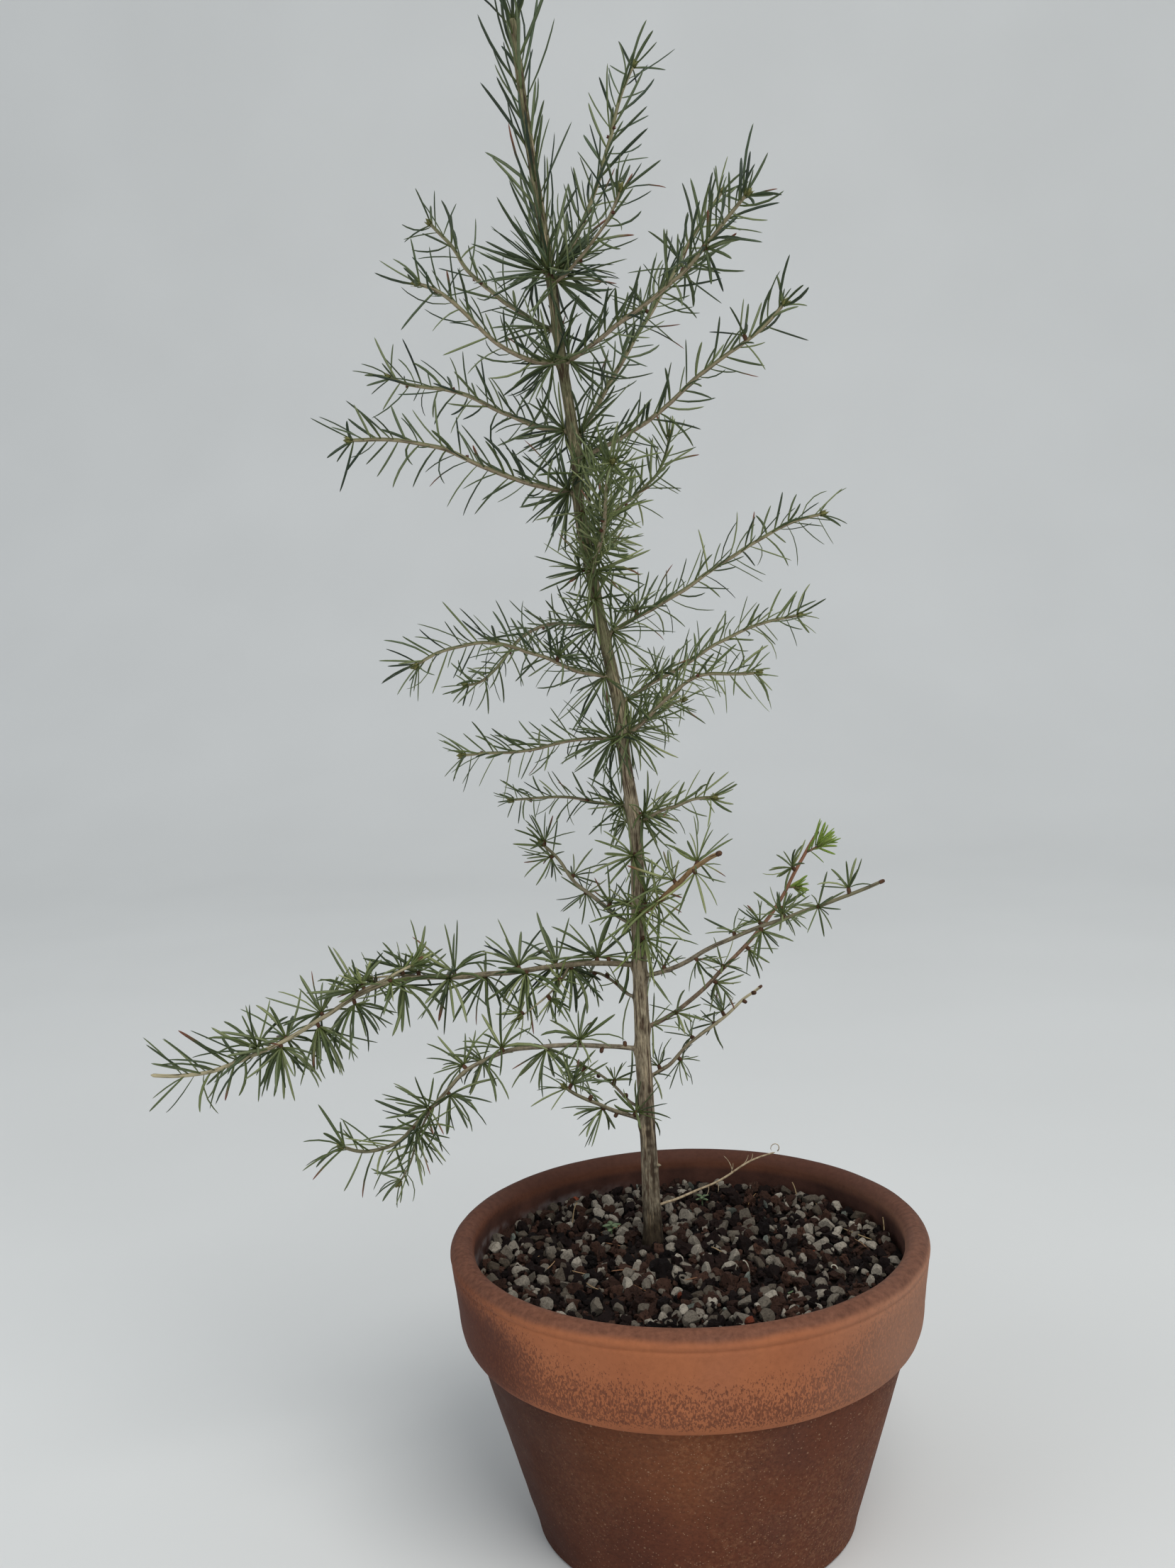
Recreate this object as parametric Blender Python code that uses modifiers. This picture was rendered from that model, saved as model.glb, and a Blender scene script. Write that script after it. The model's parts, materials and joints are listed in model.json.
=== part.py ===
"""A young larch bonsai in a terracotta pot, 0.64 m tall.

The pot is turned about its own upright axis, which stands POT_AXIS_X to the right of the
origin, because the branches reach much further to the left. The origin is the centre of the
footprint, on the table. Metres, +Z up, and -Y is the side that the front of the tree faces.
"""

import math
from collections import namedtuple

import bmesh
import bpy
from mathutils import Vector

MM = 0.001
FIT_GAP = 0.3 * MM

# Pot, all measured from its axis and from the table
POT_AXIS_X = 71.5 * MM
POT_HEIGHT = 126 * MM
RIM_RADIUS = 100 * MM
LIP_ROUND = 5 * MM
RIM_INNER_RADIUS = 89 * MM
BAND_HEIGHT = 42.5 * MM
BAND_FOOT_RADIUS = 96.8 * MM
BODY_TOP_RADIUS = 90.5 * MM
BASE_RADIUS = 68 * MM
BASE_EDGE_ROUND = 2.5 * MM
WALL = 8 * MM
FLOOR_THICKNESS = 10 * MM
FLOOR_ROUND = 2.5 * MM
THROAT_HOLLOW = 1 * MM
DRAIN_RADIUS = 11 * MM
TURN_STEPS = 48

# Filling of the pot
SOIL_LEVEL = 110.5 * MM
SOIL_CROWN = 1.0 * MM
MESH_RADIUS = 24 * MM
MESH_THICKNESS = 1.5 * MM
MESH_HOLE_RADIUS = 2.2 * MM
SOCKET_RADIUS = 5.45 * MM
SOCKET_DEPTH = 27 * MM

# Trunk stations in mm: height above the table, place to the right of the pot's axis,
# place behind it, and radius
TrunkStation = namedtuple("TrunkStation", "height right back radius")
TRUNK = (
    TrunkStation(84, -15.0, 20.0, 3.0),
    TrunkStation(100, -15.0, 20.0, 4.3),
    TrunkStation(110, -15.0, 20.0, 5.0),
    TrunkStation(117, -15.2, 20.1, 4.3),
    TrunkStation(150, -15.7, 20.9, 3.9),
    TrunkStation(200, -16.7, 22.0, 3.6),
    TrunkStation(240, -16.8, 21.2, 3.4),
    TrunkStation(298, -16.8, 20.0, 2.9),
    TrunkStation(320, -19.5, 19.2, 2.7),
    TrunkStation(350, -22.1, 18.0, 2.65),
    TrunkStation(378, -27.1, 16.9, 2.6),
    TrunkStation(400, -30.5, 16.0, 2.5),
    TrunkStation(423, -34.1, 15.1, 2.4),
    TrunkStation(448, -34.8, 14.1, 2.3),
    TrunkStation(488, -39.2, 12.5, 2.2),
    TrunkStation(520, -42.2, 11.3, 2.1),
    TrunkStation(559, -46.9, 10.0, 1.85),
    TrunkStation(591, -50.4, 9.0, 1.6),
    TrunkStation(621, -52.8, 8.0, 1.2),
)
LEADER_START = 526 * MM

# A branch leaves the trunk at a height and bearing (0 is right, 90 is back, 180 is left) and
# follows a run of slopes in degrees, spread evenly over its length. A leafy one has its own
# sleeve of needles.
Branch = namedtuple("Branch", "name height bearing length slopes radius leafy")
BRANCHES = (
    Branch("left_branch_01", 164, 208, 44, (35, 25, 29, 44), 0.85, False),
    Branch("left_branch_02", 171, 140, 40, (-10, 36, 21, 8), 0.6, False),
    Branch("left_branch_03", 197, 196, 143, (12, 7, -4, -44, -43, 34), 0.9, True),
    Branch("left_branch_04", 220, 150, 30, (-4, 37, 21, -21), 0.7, False),
    Branch("left_branch_05", 234, 183, 220, (8, -7, 2, -33, -23, 8), 1.1, True),
    Branch("left_branch_06", 251, 152, 58, (14, 34, 29, 56, 31), 0.85, True),
    Branch("left_branch_07", 303, 160, 56, (-4, 13, -4, -4), 0.75, False),
    Branch("left_branch_08", 331, 203, 69, (7, 0, -12, 3, 0), 0.8, True),
    Branch("left_branch_09", 357, 204, 88, (9, 23, 22, -8, -31), 0.85, True),
    Branch("left_branch_10", 377, 146, 83, (10, 5, -30, -45, -6), 0.8, True),
    Branch("left_branch_11", 433, 204, 97, (6, 16, 28, 7, -4), 0.9, True),
    Branch("left_branch_12", 458, 152, 97, (0, 25, 27, 8, 24), 0.85, True),
    Branch("left_branch_13", 485, 208, 68, (-7, 17, 41, 42, 10), 0.85, True),
    Branch("left_branch_14", 497, 140, 91, (18, 34, 34, 51, 41), 0.85, True),
    Branch("right_branch_01", 184, 45, 80, (1, 28, 14, 24, 18), 0.9, True),
    Branch("right_branch_02", 206, 22, 117, (10, 35, 38, 46, 60, 53), 1.0, True),
    Branch("right_branch_03", 229, -20, 114, (11, 32, 21, 22, 22), 1.0, True),
    Branch("right_branch_04", 295, -35, 42, (24, 22, 20, 4), 0.8, False),
    Branch("right_branch_05", 335, 52, 43, (2, 12, 22, 5), 0.7, False),
    Branch("right_branch_06", 332, -34, 74, (25, 41, 35, 0, 1), 0.8, True),
    Branch("right_branch_07", 346, 22, 91, (26, 26, 28, 16, 5), 0.9, True),
    Branch("right_branch_08", 374, 20, 111, (29, 25, 32, 26, 9), 0.95, True),
    Branch("right_branch_09", 419, 42, 66, (14, 27, 39, 78), 0.8, True),
    Branch("right_branch_10", 446, -18, 103, (19, 25, 40, 27, 47), 0.95, True),
    Branch("right_branch_11", 453, 41, 138, (48, 55, 50, 54, 45), 0.95, True),
    Branch("right_branch_12", 484, -36, 104, (18, 27, 21, 42, 38), 0.9, True),
    Branch("right_branch_13", 515, 49, 109, (50, 57, 62, 71, 54), 0.9, True),
    Branch("front_branch_01", 256, -52, 64, (23, 35, 36, 20), 1.2, True),
    Branch("front_branch_02", 398, -78, 73, (52, 17, 68, 5), 0.85, True),
    Branch("front_branch_03", 515, -48, 53, (17, 25, 34, 61), 0.7, False),
)
DEAD_TWIG = Branch("dead_twig", 127, 12, 59, (13, 16, 31, 10), 0.8, False)
TIP_TAPER = 0.6
TWIG_STEP = 20 * MM
WALK_STEP = 0.25 * MM

# Needles: a thin sleeve along the twig, with one spike for each side at each station
SLEEVE_SIDES = 5
SLEEVE_WALL = 0.5 * MM
SLEEVE_START = 7 * MM
SPIKE_BAND = 1.5 * MM
SPIKE_LENGTH = 15 * MM
TIP_TUFT = 14 * MM
FORWARD_LEAN = 35

# Seedling weed on the soil, from the pot's axis
WEED_RIGHT = -33.5 * MM
WEED_BACK = 28.5 * MM
WEED_STEM = 0.7 * MM
WEED_HEIGHT = 6 * MM
WEED_LEAF = 3.2 * MM


def clear_scene():
    for old in list(bpy.data.objects):
        bpy.data.objects.remove(old, do_unlink=True)


def new_collection(name):
    collection = bpy.data.collections.new(name)
    bpy.context.scene.collection.children.link(collection)
    return collection


def material(name, colour, roughness):
    made = bpy.data.materials.new(name)
    made.use_nodes = True
    shader = made.node_tree.nodes["Principled BSDF"]
    shader.inputs["Base Color"].default_value = (*colour, 1.0)
    shader.inputs["Roughness"].default_value = roughness
    shader.inputs["Metallic"].default_value = 0.0
    return made


def place(name, data, collection, finish, parent):
    """One named part, standing on the pot's axis."""
    part = bpy.data.objects.new(name, data)
    part.data.materials.append(finish)
    part.parent = parent
    collection.objects.link(part)
    return part


def arc(centre, radius, start, end, steps):
    """Points of an arc in the plane of a profile, angles in degrees from the outward direction."""
    points = []
    for step in range(steps + 1):
        angle = math.radians(start + (end - start) * step / steps)
        points.append((centre[0] + radius * math.cos(angle), centre[1] + radius * math.sin(angle)))
    return points


def turned(name, profile, closed, collection, finish, parent):
    """A profile of (radius, height) points swept about the upright axis."""
    mesh = bpy.data.meshes.new(name)
    corners = [(radius, 0.0, height) for radius, height in profile]
    edges = [(index, index + 1) for index in range(len(corners) - 1)]
    if closed:
        edges.append((len(corners) - 1, 0))
    mesh.from_pydata(corners, edges, [])
    part = place(name, mesh, collection, finish, parent)
    screw = part.modifiers.new("turn", "SCREW")
    screw.axis = "Z"
    screw.steps = TURN_STEPS
    screw.render_steps = TURN_STEPS
    screw.use_merge_vertices = True
    screw.merge_threshold = 0.1 * MM
    screw.use_smooth_shade = True
    return part


def inner_wall(gap):
    """The inside of the pot from its floor to just under the lip, drawn in by a gap."""
    band_bottom = POT_HEIGHT - BAND_HEIGHT
    throat = RIM_INNER_RADIUS + THROAT_HOLLOW - gap
    floor_edge = BASE_RADIUS - WALL - gap
    return [
        (floor_edge - FLOOR_ROUND, FLOOR_THICKNESS + gap),
        (floor_edge + FLOOR_ROUND / 2, FLOOR_THICKNESS + FLOOR_ROUND),
        (BODY_TOP_RADIUS - WALL - gap, band_bottom - 4 * MM),
        (throat, band_bottom + 14 * MM),
        (throat, POT_HEIGHT - 2.4 * LIP_ROUND),
    ]


def pot_profile():
    lip_centre = (RIM_RADIUS - LIP_ROUND, POT_HEIGHT - LIP_ROUND)
    inner_round = LIP_ROUND
    inner_centre = (RIM_INNER_RADIUS + inner_round, POT_HEIGHT - inner_round)
    band_bottom = POT_HEIGHT - BAND_HEIGHT
    foot_round = BAND_FOOT_RADIUS - BODY_TOP_RADIUS
    edge_centre = (BASE_RADIUS - BASE_EDGE_ROUND, BASE_EDGE_ROUND)
    outer = arc(lip_centre, LIP_ROUND, 90, 0, 4)
    outer += arc((BODY_TOP_RADIUS, band_bottom + foot_round), foot_round, 0, -80, 3)
    outer += [(BODY_TOP_RADIUS, band_bottom - 1 * MM)]
    outer += arc(edge_centre, BASE_EDGE_ROUND, -12, -90, 2)
    drain = [(DRAIN_RADIUS, 0.0), (DRAIN_RADIUS, FLOOR_THICKNESS)]
    lip = arc(inner_centre, inner_round, 180, 90, 3)
    return outer + drain + inner_wall(0.0) + lip


def substrate_profile():
    """The filling of grit, crowned a little in the middle, with its foot on the pot's floor."""
    wall = inner_wall(FIT_GAP)
    top_radius = wall[-1][0]
    surface = [
        (0.0, SOIL_LEVEL),
        (top_radius / 2, SOIL_LEVEL - SOIL_CROWN / 4),
        (top_radius, SOIL_LEVEL - SOIL_CROWN),
    ]
    mesh_roof = FLOOR_THICKNESS + MESH_THICKNESS + 2 * FIT_GAP
    mesh_edge = MESH_RADIUS + FIT_GAP
    under = [(mesh_edge, FLOOR_THICKNESS + FIT_GAP), (mesh_edge, mesh_roof), (0.0, mesh_roof)]
    return surface + wall[-2::-1] + under


def drain_mesh(collection, finish, parent):
    """The round screen over the drain hole, with a ring of holes through it."""
    mesh = bpy.data.meshes.new("drain_mesh")
    built = bmesh.new()
    bmesh.ops.create_cone(
        built,
        cap_ends=True,
        segments=24,
        radius1=MESH_RADIUS,
        radius2=MESH_RADIUS,
        depth=MESH_THICKNESS,
    )
    built.to_mesh(mesh)
    built.free()
    part = place("drain_mesh", mesh, collection, finish, parent)
    part.location.z = FLOOR_THICKNESS + FIT_GAP + MESH_THICKNESS / 2
    return part


def cut_with(part, cutter, name):
    boolean = part.modifiers.new(name, "BOOLEAN")
    boolean.operation = "DIFFERENCE"
    boolean.object = cutter


def upright_cutter(name, radius, depth, centre, collection, parent):
    mesh = bpy.data.meshes.new(name)
    built = bmesh.new()
    bmesh.ops.create_cone(
        built, cap_ends=True, segments=12, radius1=radius, radius2=radius, depth=depth
    )
    built.to_mesh(mesh)
    built.free()
    cutter = bpy.data.objects.new(name, mesh)
    cutter.location = centre
    cutter.parent = parent
    cutter.hide_render = True
    cutter.display_type = "WIRE"
    collection.objects.link(cutter)
    return cutter


def cut_mesh_holes(screen, cutters, parent):
    centre_z = FLOOR_THICKNESS + FIT_GAP + MESH_THICKNESS / 2
    places = [(0.0, 0.0)]
    for turn in range(6):
        angle = math.radians(60 * turn)
        places.append((7 * MM * math.cos(angle), 7 * MM * math.sin(angle)))
    for number, (right, back) in enumerate(places):
        centre = (right, back, centre_z)
        name = f"mesh_hole_cutter_{number}"
        cutter = upright_cutter(name, MESH_HOLE_RADIUS, 4 * MESH_THICKNESS, centre, cutters, parent)
        cut_with(screen, cutter, f"hole_{number}")


def tube(name, points, radii, sides_step, collection, finish, parent):
    """A tapering round stem through the points."""
    curve = bpy.data.curves.new(name, "CURVE")
    curve.dimensions = "3D"
    curve.bevel_depth = 1.0
    curve.bevel_resolution = sides_step
    curve.use_fill_caps = True
    spline = curve.splines.new("POLY")
    spline.points.add(len(points) - 1)
    for station, point, radius in zip(spline.points, points, radii):
        station.co = (*point, 1.0)
        station.radius = radius
    return place(name, curve, collection, finish, parent)


def trunk_at(height):
    """Centre and radius of the trunk at a height, in metres."""
    heights = [station.height * MM for station in TRUNK]
    upper = 1
    while upper < len(TRUNK) - 1 and heights[upper] < height:
        upper += 1
    share = (height - heights[upper - 1]) / (heights[upper] - heights[upper - 1])
    low = TRUNK[upper - 1]
    high = TRUNK[upper]
    right = low.right + (high.right - low.right) * share
    back = low.back + (high.back - low.back) * share
    radius = low.radius + (high.radius - low.radius) * share
    return Vector((right * MM, back * MM, height)), radius * MM


def slope_at(slopes, share):
    """The slope in degrees at a share of the branch's length."""
    place_in_run = share * (len(slopes) - 1)
    first = min(int(place_in_run), len(slopes) - 2)
    return slopes[first] + (slopes[first + 1] - slopes[first]) * (place_in_run - first)


def branch_direction(branch, share):
    slope = math.radians(slope_at(branch.slopes, share))
    bearing = math.radians(branch.bearing)
    flat = math.cos(slope)
    return Vector((flat * math.cos(bearing), flat * math.sin(bearing), math.sin(slope)))


def branch_path(branch):
    """The twig's points from the skin of the trunk to the tip, about TWIG_STEP apart."""
    length = branch.length * MM
    walk_count = round(length / WALK_STEP)
    point, trunk_radius = trunk_at(branch.height * MM)
    walk = [point.copy()]
    start = 0
    for step in range(walk_count):
        direction = branch_direction(branch, (step + 0.5) / walk_count)
        point += direction * (length / walk_count)
        walk.append(point.copy())
        beside, trunk_radius = trunk_at(point.z)
        reach = trunk_radius + FIT_GAP + branch.radius * MM * abs(direction.z)
        if start == 0 and (point - beside).length > reach:
            start = step + 1
    stations = max(3, round((walk_count - start) * WALK_STEP / TWIG_STEP))
    return [walk[start + round((walk_count - start) * station / stations)] for station in range(stations + 1)]


def branch_radii(branch, count):
    radii = []
    for index in range(count):
        taper = 1.0 - (1.0 - TIP_TAPER) * index / (count - 1)
        radii.append(branch.radius * MM * taper)
    return radii


def bevel_ring(centre, direction, radius, sides, spin):
    """Corner points of a ring of the sleeve, square to the direction."""
    frame = direction.to_track_quat("Z", "Y")
    points = []
    for side in range(sides):
        angle = 2 * math.pi * side / sides + spin
        points.append(centre + frame @ Vector((radius * math.cos(angle), radius * math.sin(angle), 0)))
    return points


def turn_to_match(previous, ring):
    """Rolls a ring's numbering so that it lines up with the ring before it."""
    sides = len(ring)
    best = min(
        range(sides),
        key=lambda shift: sum(
            (previous[side] - ring[(side + shift) % sides]).length for side in range(sides)
        ),
    )
    return [ring[(side + best) % sides] for side in range(sides)]


def sleeve_stations(points, radii, start):
    """Places along the twig where the sleeve has a ring: (point, direction, twig radius)."""
    stations = []
    first_leg = (points[1] - points[0]).normalized()
    stations.append((points[0] + first_leg * start, first_leg, radii[0]))
    for index in range(1, len(points) - 1):
        ahead = (points[index + 1] - points[index]).normalized()
        behind = (points[index] - points[index - 1]).normalized()
        stations.append((points[index], (ahead + behind).normalized(), radii[index]))
    last_leg = (points[-1] - points[-2]).normalized()
    stations.append((points[-1] + last_leg * FIT_GAP * 2, last_leg, radii[-1]))
    return stations


def bridge(built, lower, upper):
    faces = []
    sides = len(lower)
    for side in range(sides):
        following = (side + 1) % sides
        faces.append(built.faces.new((lower[side], lower[following], upper[following], upper[side])))
    return faces


def raise_spike(built, face, direction, length):
    """Turns one face of the sleeve into a four-sided spike that leans towards the tip."""
    outward = face.normal.normalized()
    lean = math.radians(FORWARD_LEAN)
    heading = outward * math.cos(lean) + direction * math.sin(lean)
    apex = built.verts.new(face.calc_center_median() + heading * length)
    corners = list(face.verts)
    built.faces.remove(face)
    for index, corner in enumerate(corners):
        built.faces.new((corner, corners[(index + 1) % len(corners)], apex))


def needle_sleeve(name, points, radii, start, collection, finish, parent):
    """The needles of one branch as one closed body round its twig, open towards the trunk."""
    built = bmesh.new()
    slack = 1 / math.cos(math.pi / SLEEVE_SIDES)
    outer_rings = []
    inner_rings = []
    spike_bands = []
    previous = None
    stations = sleeve_stations(points, radii, start)
    for number, (point, direction, twig_radius) in enumerate(stations):
        inner_radius = (twig_radius + FIT_GAP) * slack
        outer_radius = (twig_radius + FIT_GAP + SLEEVE_WALL) * slack
        ring = bevel_ring(point, direction, inner_radius, SLEEVE_SIDES, 0.0)
        if previous is not None:
            ring = turn_to_match(previous, ring)
        previous = ring
        inner_rings.append([built.verts.new(corner) for corner in ring])
        scale = outer_radius / inner_radius
        swollen = [point + (corner - point) * scale for corner in ring]
        inside_run = 0 < number < len(stations) - 1
        shifts = (-SPIKE_BAND, SPIKE_BAND) if inside_run else (0.0,)
        for shift in shifts:
            verts = [built.verts.new(corner + direction * shift) for corner in swollen]
            outer_rings.append(verts)
        if inside_run:
            spike_bands.append((len(outer_rings) - 2, direction))
    bands = [bridge(built, low, high) for low, high in zip(outer_rings, outer_rings[1:])]
    for low, high in zip(inner_rings, inner_rings[1:]):
        bridge(built, high, low)
    bridge(built, inner_rings[0], outer_rings[0])
    built.faces.new(list(reversed(inner_rings[-1])))
    tip = stations[-1][0] + stations[-1][1] * TIP_TUFT
    apex = built.verts.new(tip)
    last = outer_rings[-1]
    for side in range(SLEEVE_SIDES):
        built.faces.new((last[side], last[(side + 1) % SLEEVE_SIDES], apex))
    built.normal_update()
    for band, direction in spike_bands:
        for face in bands[band]:
            raise_spike(built, face, direction, SPIKE_LENGTH)
    bmesh.ops.recalc_face_normals(built, faces=built.faces)
    mesh = bpy.data.meshes.new(name)
    built.to_mesh(mesh)
    built.free()
    return place(name, mesh, collection, finish, parent)


def weed_seedling(collection, finish, parent):
    """A lobed seedling: a short stem that opens into a small crown of leaf."""
    profile = [
        (0.0, WEED_HEIGHT),
        (WEED_LEAF * 0.6, WEED_HEIGHT - 0.2 * MM),
        (WEED_LEAF, WEED_HEIGHT - 0.8 * MM),
        (WEED_STEM, WEED_HEIGHT - 1.6 * MM),
        (WEED_STEM, 0.0),
        (0.0, 0.0),
    ]
    part = turned("weed_seedling", profile, False, collection, finish, parent)
    part.modifiers["turn"].steps = 10
    part.modifiers["turn"].render_steps = 10
    part.location = (WEED_RIGHT, WEED_BACK, SOIL_LEVEL)
    return part


def add_trunk(collection, cutters, bark, green, parent, substrate):
    centres = []
    radii = []
    for station in TRUNK:
        centres.append(Vector((station.right * MM, station.back * MM, station.height * MM)))
        radii.append(station.radius * MM)
    tube("trunk", centres, radii, 2, collection, bark, parent)
    root = centres[2]
    socket_centre = (root.x, root.y, SOIL_LEVEL - SOCKET_DEPTH / 2 + 2 * MM)
    socket = upright_cutter(
        "socket_cutter", SOCKET_RADIUS, SOCKET_DEPTH + 4 * MM, socket_centre, cutters, parent
    )
    cut_with(substrate, socket, "trunk_socket")
    leader = []
    leader_radii = []
    steps = 5
    for step in range(steps + 1):
        height = LEADER_START + (TRUNK[-1].height * MM - LEADER_START) * step / steps
        centre, radius = trunk_at(height)
        leader.append(centre)
        leader_radii.append(radius + 0.15 * MM)
    needle_sleeve("leader_needles", leader, leader_radii, 0.0, collection, green, parent)


def build():
    clear_scene()
    parts = new_collection("larch_bonsai")
    cutters = new_collection("cutters")
    pot_axis = bpy.data.objects.new("pot_axis", None)
    pot_axis.location = (POT_AXIS_X, 0.0, 0.0)
    parts.objects.link(pot_axis)

    terracotta = material("terracotta", (0.42, 0.17, 0.09), 0.85)
    grit = material("grit", (0.30, 0.27, 0.23), 0.95)
    plastic = material("mesh_plastic", (0.03, 0.03, 0.03), 0.6)
    bark = material("bark", (0.23, 0.17, 0.13), 0.9)
    dead_wood = material("dead_wood", (0.46, 0.38, 0.28), 0.9)
    green = material("needle_green", (0.10, 0.22, 0.06), 0.6)
    weed_green = material("weed_green", (0.08, 0.17, 0.04), 0.7)

    turned("pot", pot_profile(), True, parts, terracotta, pot_axis)
    substrate = turned("substrate", substrate_profile(), False, parts, grit, pot_axis)
    screen = drain_mesh(parts, plastic, pot_axis)
    cut_mesh_holes(screen, cutters, pot_axis)
    add_trunk(parts, cutters, bark, green, pot_axis, substrate)

    for branch in BRANCHES + (DEAD_TWIG,):
        points = branch_path(branch)
        radii = branch_radii(branch, len(points))
        finish = dead_wood if branch is DEAD_TWIG else bark
        tube(branch.name, points, radii, 1, parts, finish, pot_axis)
        if branch.leafy:
            name = branch.name.replace("branch", "needles")
            needle_sleeve(name, points, radii, SLEEVE_START, parts, green, pot_axis)
    weed_seedling(parts, weed_green, pot_axis)


build()
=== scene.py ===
"""Looks of the larch bonsai in its terracotta pot. Metres, +Z up, the tree's front faces -Y."""

import itertools
import json
import math
from collections import namedtuple

import bpy
import numpy as np
from mathutils import Matrix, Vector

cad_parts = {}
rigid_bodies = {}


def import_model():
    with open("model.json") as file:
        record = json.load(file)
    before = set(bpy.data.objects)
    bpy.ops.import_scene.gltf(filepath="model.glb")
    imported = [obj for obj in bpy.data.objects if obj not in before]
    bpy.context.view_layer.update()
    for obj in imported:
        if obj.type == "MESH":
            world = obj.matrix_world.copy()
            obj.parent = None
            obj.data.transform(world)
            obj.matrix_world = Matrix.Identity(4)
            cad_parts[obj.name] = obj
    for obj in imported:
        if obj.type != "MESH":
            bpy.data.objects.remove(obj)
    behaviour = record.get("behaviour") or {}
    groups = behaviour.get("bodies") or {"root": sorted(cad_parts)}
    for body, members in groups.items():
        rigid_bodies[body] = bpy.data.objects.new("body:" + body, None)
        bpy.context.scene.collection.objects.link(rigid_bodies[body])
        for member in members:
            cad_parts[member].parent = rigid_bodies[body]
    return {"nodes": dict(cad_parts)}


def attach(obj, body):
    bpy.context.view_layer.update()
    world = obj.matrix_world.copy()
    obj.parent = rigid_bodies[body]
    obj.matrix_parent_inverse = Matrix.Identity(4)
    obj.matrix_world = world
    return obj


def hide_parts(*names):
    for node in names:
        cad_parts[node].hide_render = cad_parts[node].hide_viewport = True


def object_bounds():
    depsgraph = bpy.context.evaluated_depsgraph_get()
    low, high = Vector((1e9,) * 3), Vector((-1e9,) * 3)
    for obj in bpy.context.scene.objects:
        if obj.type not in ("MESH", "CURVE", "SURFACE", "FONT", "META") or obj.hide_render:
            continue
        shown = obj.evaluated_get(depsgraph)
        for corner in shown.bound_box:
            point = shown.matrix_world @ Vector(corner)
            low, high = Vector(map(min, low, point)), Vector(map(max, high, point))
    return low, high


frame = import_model()
cad_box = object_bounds()

MM = 0.001
RIGHT, BACK, UP = np.eye(3)

# Pot, measured from its own axis and from the table
POT_AXIS = np.array((71.5 * MM, 0.0, 0.0))
POT_HEIGHT = 126 * MM
RIM_RADIUS = 100 * MM
LIP_ROUND = 5 * MM
RIM_INNER_RADIUS = 90 * MM
BAND_FOOT = POT_HEIGHT - 42.5 * MM
BAND_WAIST = POT_HEIGHT - 27 * MM
BAND_WAIST_RADIUS = 97.5 * MM
BAND_FOOT_RADIUS = 91.4 * MM
BODY_TOP_RADIUS = 90.3 * MM
BASE_RADIUS = 68 * MM
BASE_EDGE_ROUND = 2.5 * MM
WALL = 8 * MM
FLOOR_THICKNESS = 10 * MM
DRAIN_RADIUS = 11 * MM
POT_TURNS = 200
SOIL_LEVEL = 110.5 * MM
SOIL_RADIUS = 90.3 * MM

# Trunk stations in mm: height above the table, place to the right of the pot's axis,
# place behind it, and radius
TrunkStation = namedtuple("TrunkStation", "height right back radius")
TRUNK = [TrunkStation(*row) for row in (
    (96, -15.0, 20.0, 5.2), (106, -15.0, 20.0, 5.0), (112, -15.1, 20.0, 4.5),
    (120, -15.2, 20.1, 4.0), (150, -15.7, 20.9, 3.6), (200, -16.7, 22.0, 3.3),
    (240, -16.8, 21.2, 3.1), (298, -16.8, 20.0, 2.8), (320, -19.5, 19.2, 2.65),
    (350, -22.1, 18.0, 2.55), (378, -27.1, 16.9, 2.5), (400, -30.5, 16.0, 2.45),
    (423, -34.1, 15.1, 2.35), (448, -34.8, 14.1, 2.3), (488, -39.2, 12.5, 2.15),
    (520, -42.2, 11.3, 2.05), (559, -46.9, 10.0, 1.85), (591, -50.4, 9.0, 1.65),
    (617, -52.6, 8.1, 1.45),
)]
ROOT = TRUNK[1]
LEADER_START = 522 * MM
TRUNK_TURNS = 36
# A small broken stub on the trunk: height in mm and bearing
STUB_HEIGHT = 146
STUB_BEARING = -15

# How a shoot is clothed. spurs are the shares of its length where a spur holds a rosette of so
# many needles, and bare those of spurs without needles. collar counts the needles where the shoot
# leaves the trunk. Single needles start at the share singles and stand step mm apart. needle is
# their length and broad their width in mm, tip counts those beyond the end, and spread is how
# wide these open in degrees. hang is how far needles droop (0 to 1), and fresh is 0 for dark
# green, 1 for yellow-green and 2 for the green of spring.
Foliage = namedtuple(
    "Foliage", "spurs rosette collar singles step needle broad tip hang fresh bare spread",
    defaults=((), 16, 24, 0.1, 1.35, 12, 0.9, 5, 0.3, 0.3, (), 66),
)


def mature(spurs, **changes):
    """Older wood: rosettes on spurs, and single needles only near the tip."""
    habits = {"singles": 0.86, "step": 3.0, "collar": 8, "tip": 6, "hang": 0.35, "broad": 0.92}
    return Foliage(spurs=spurs, **{**habits, **changes})


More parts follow.
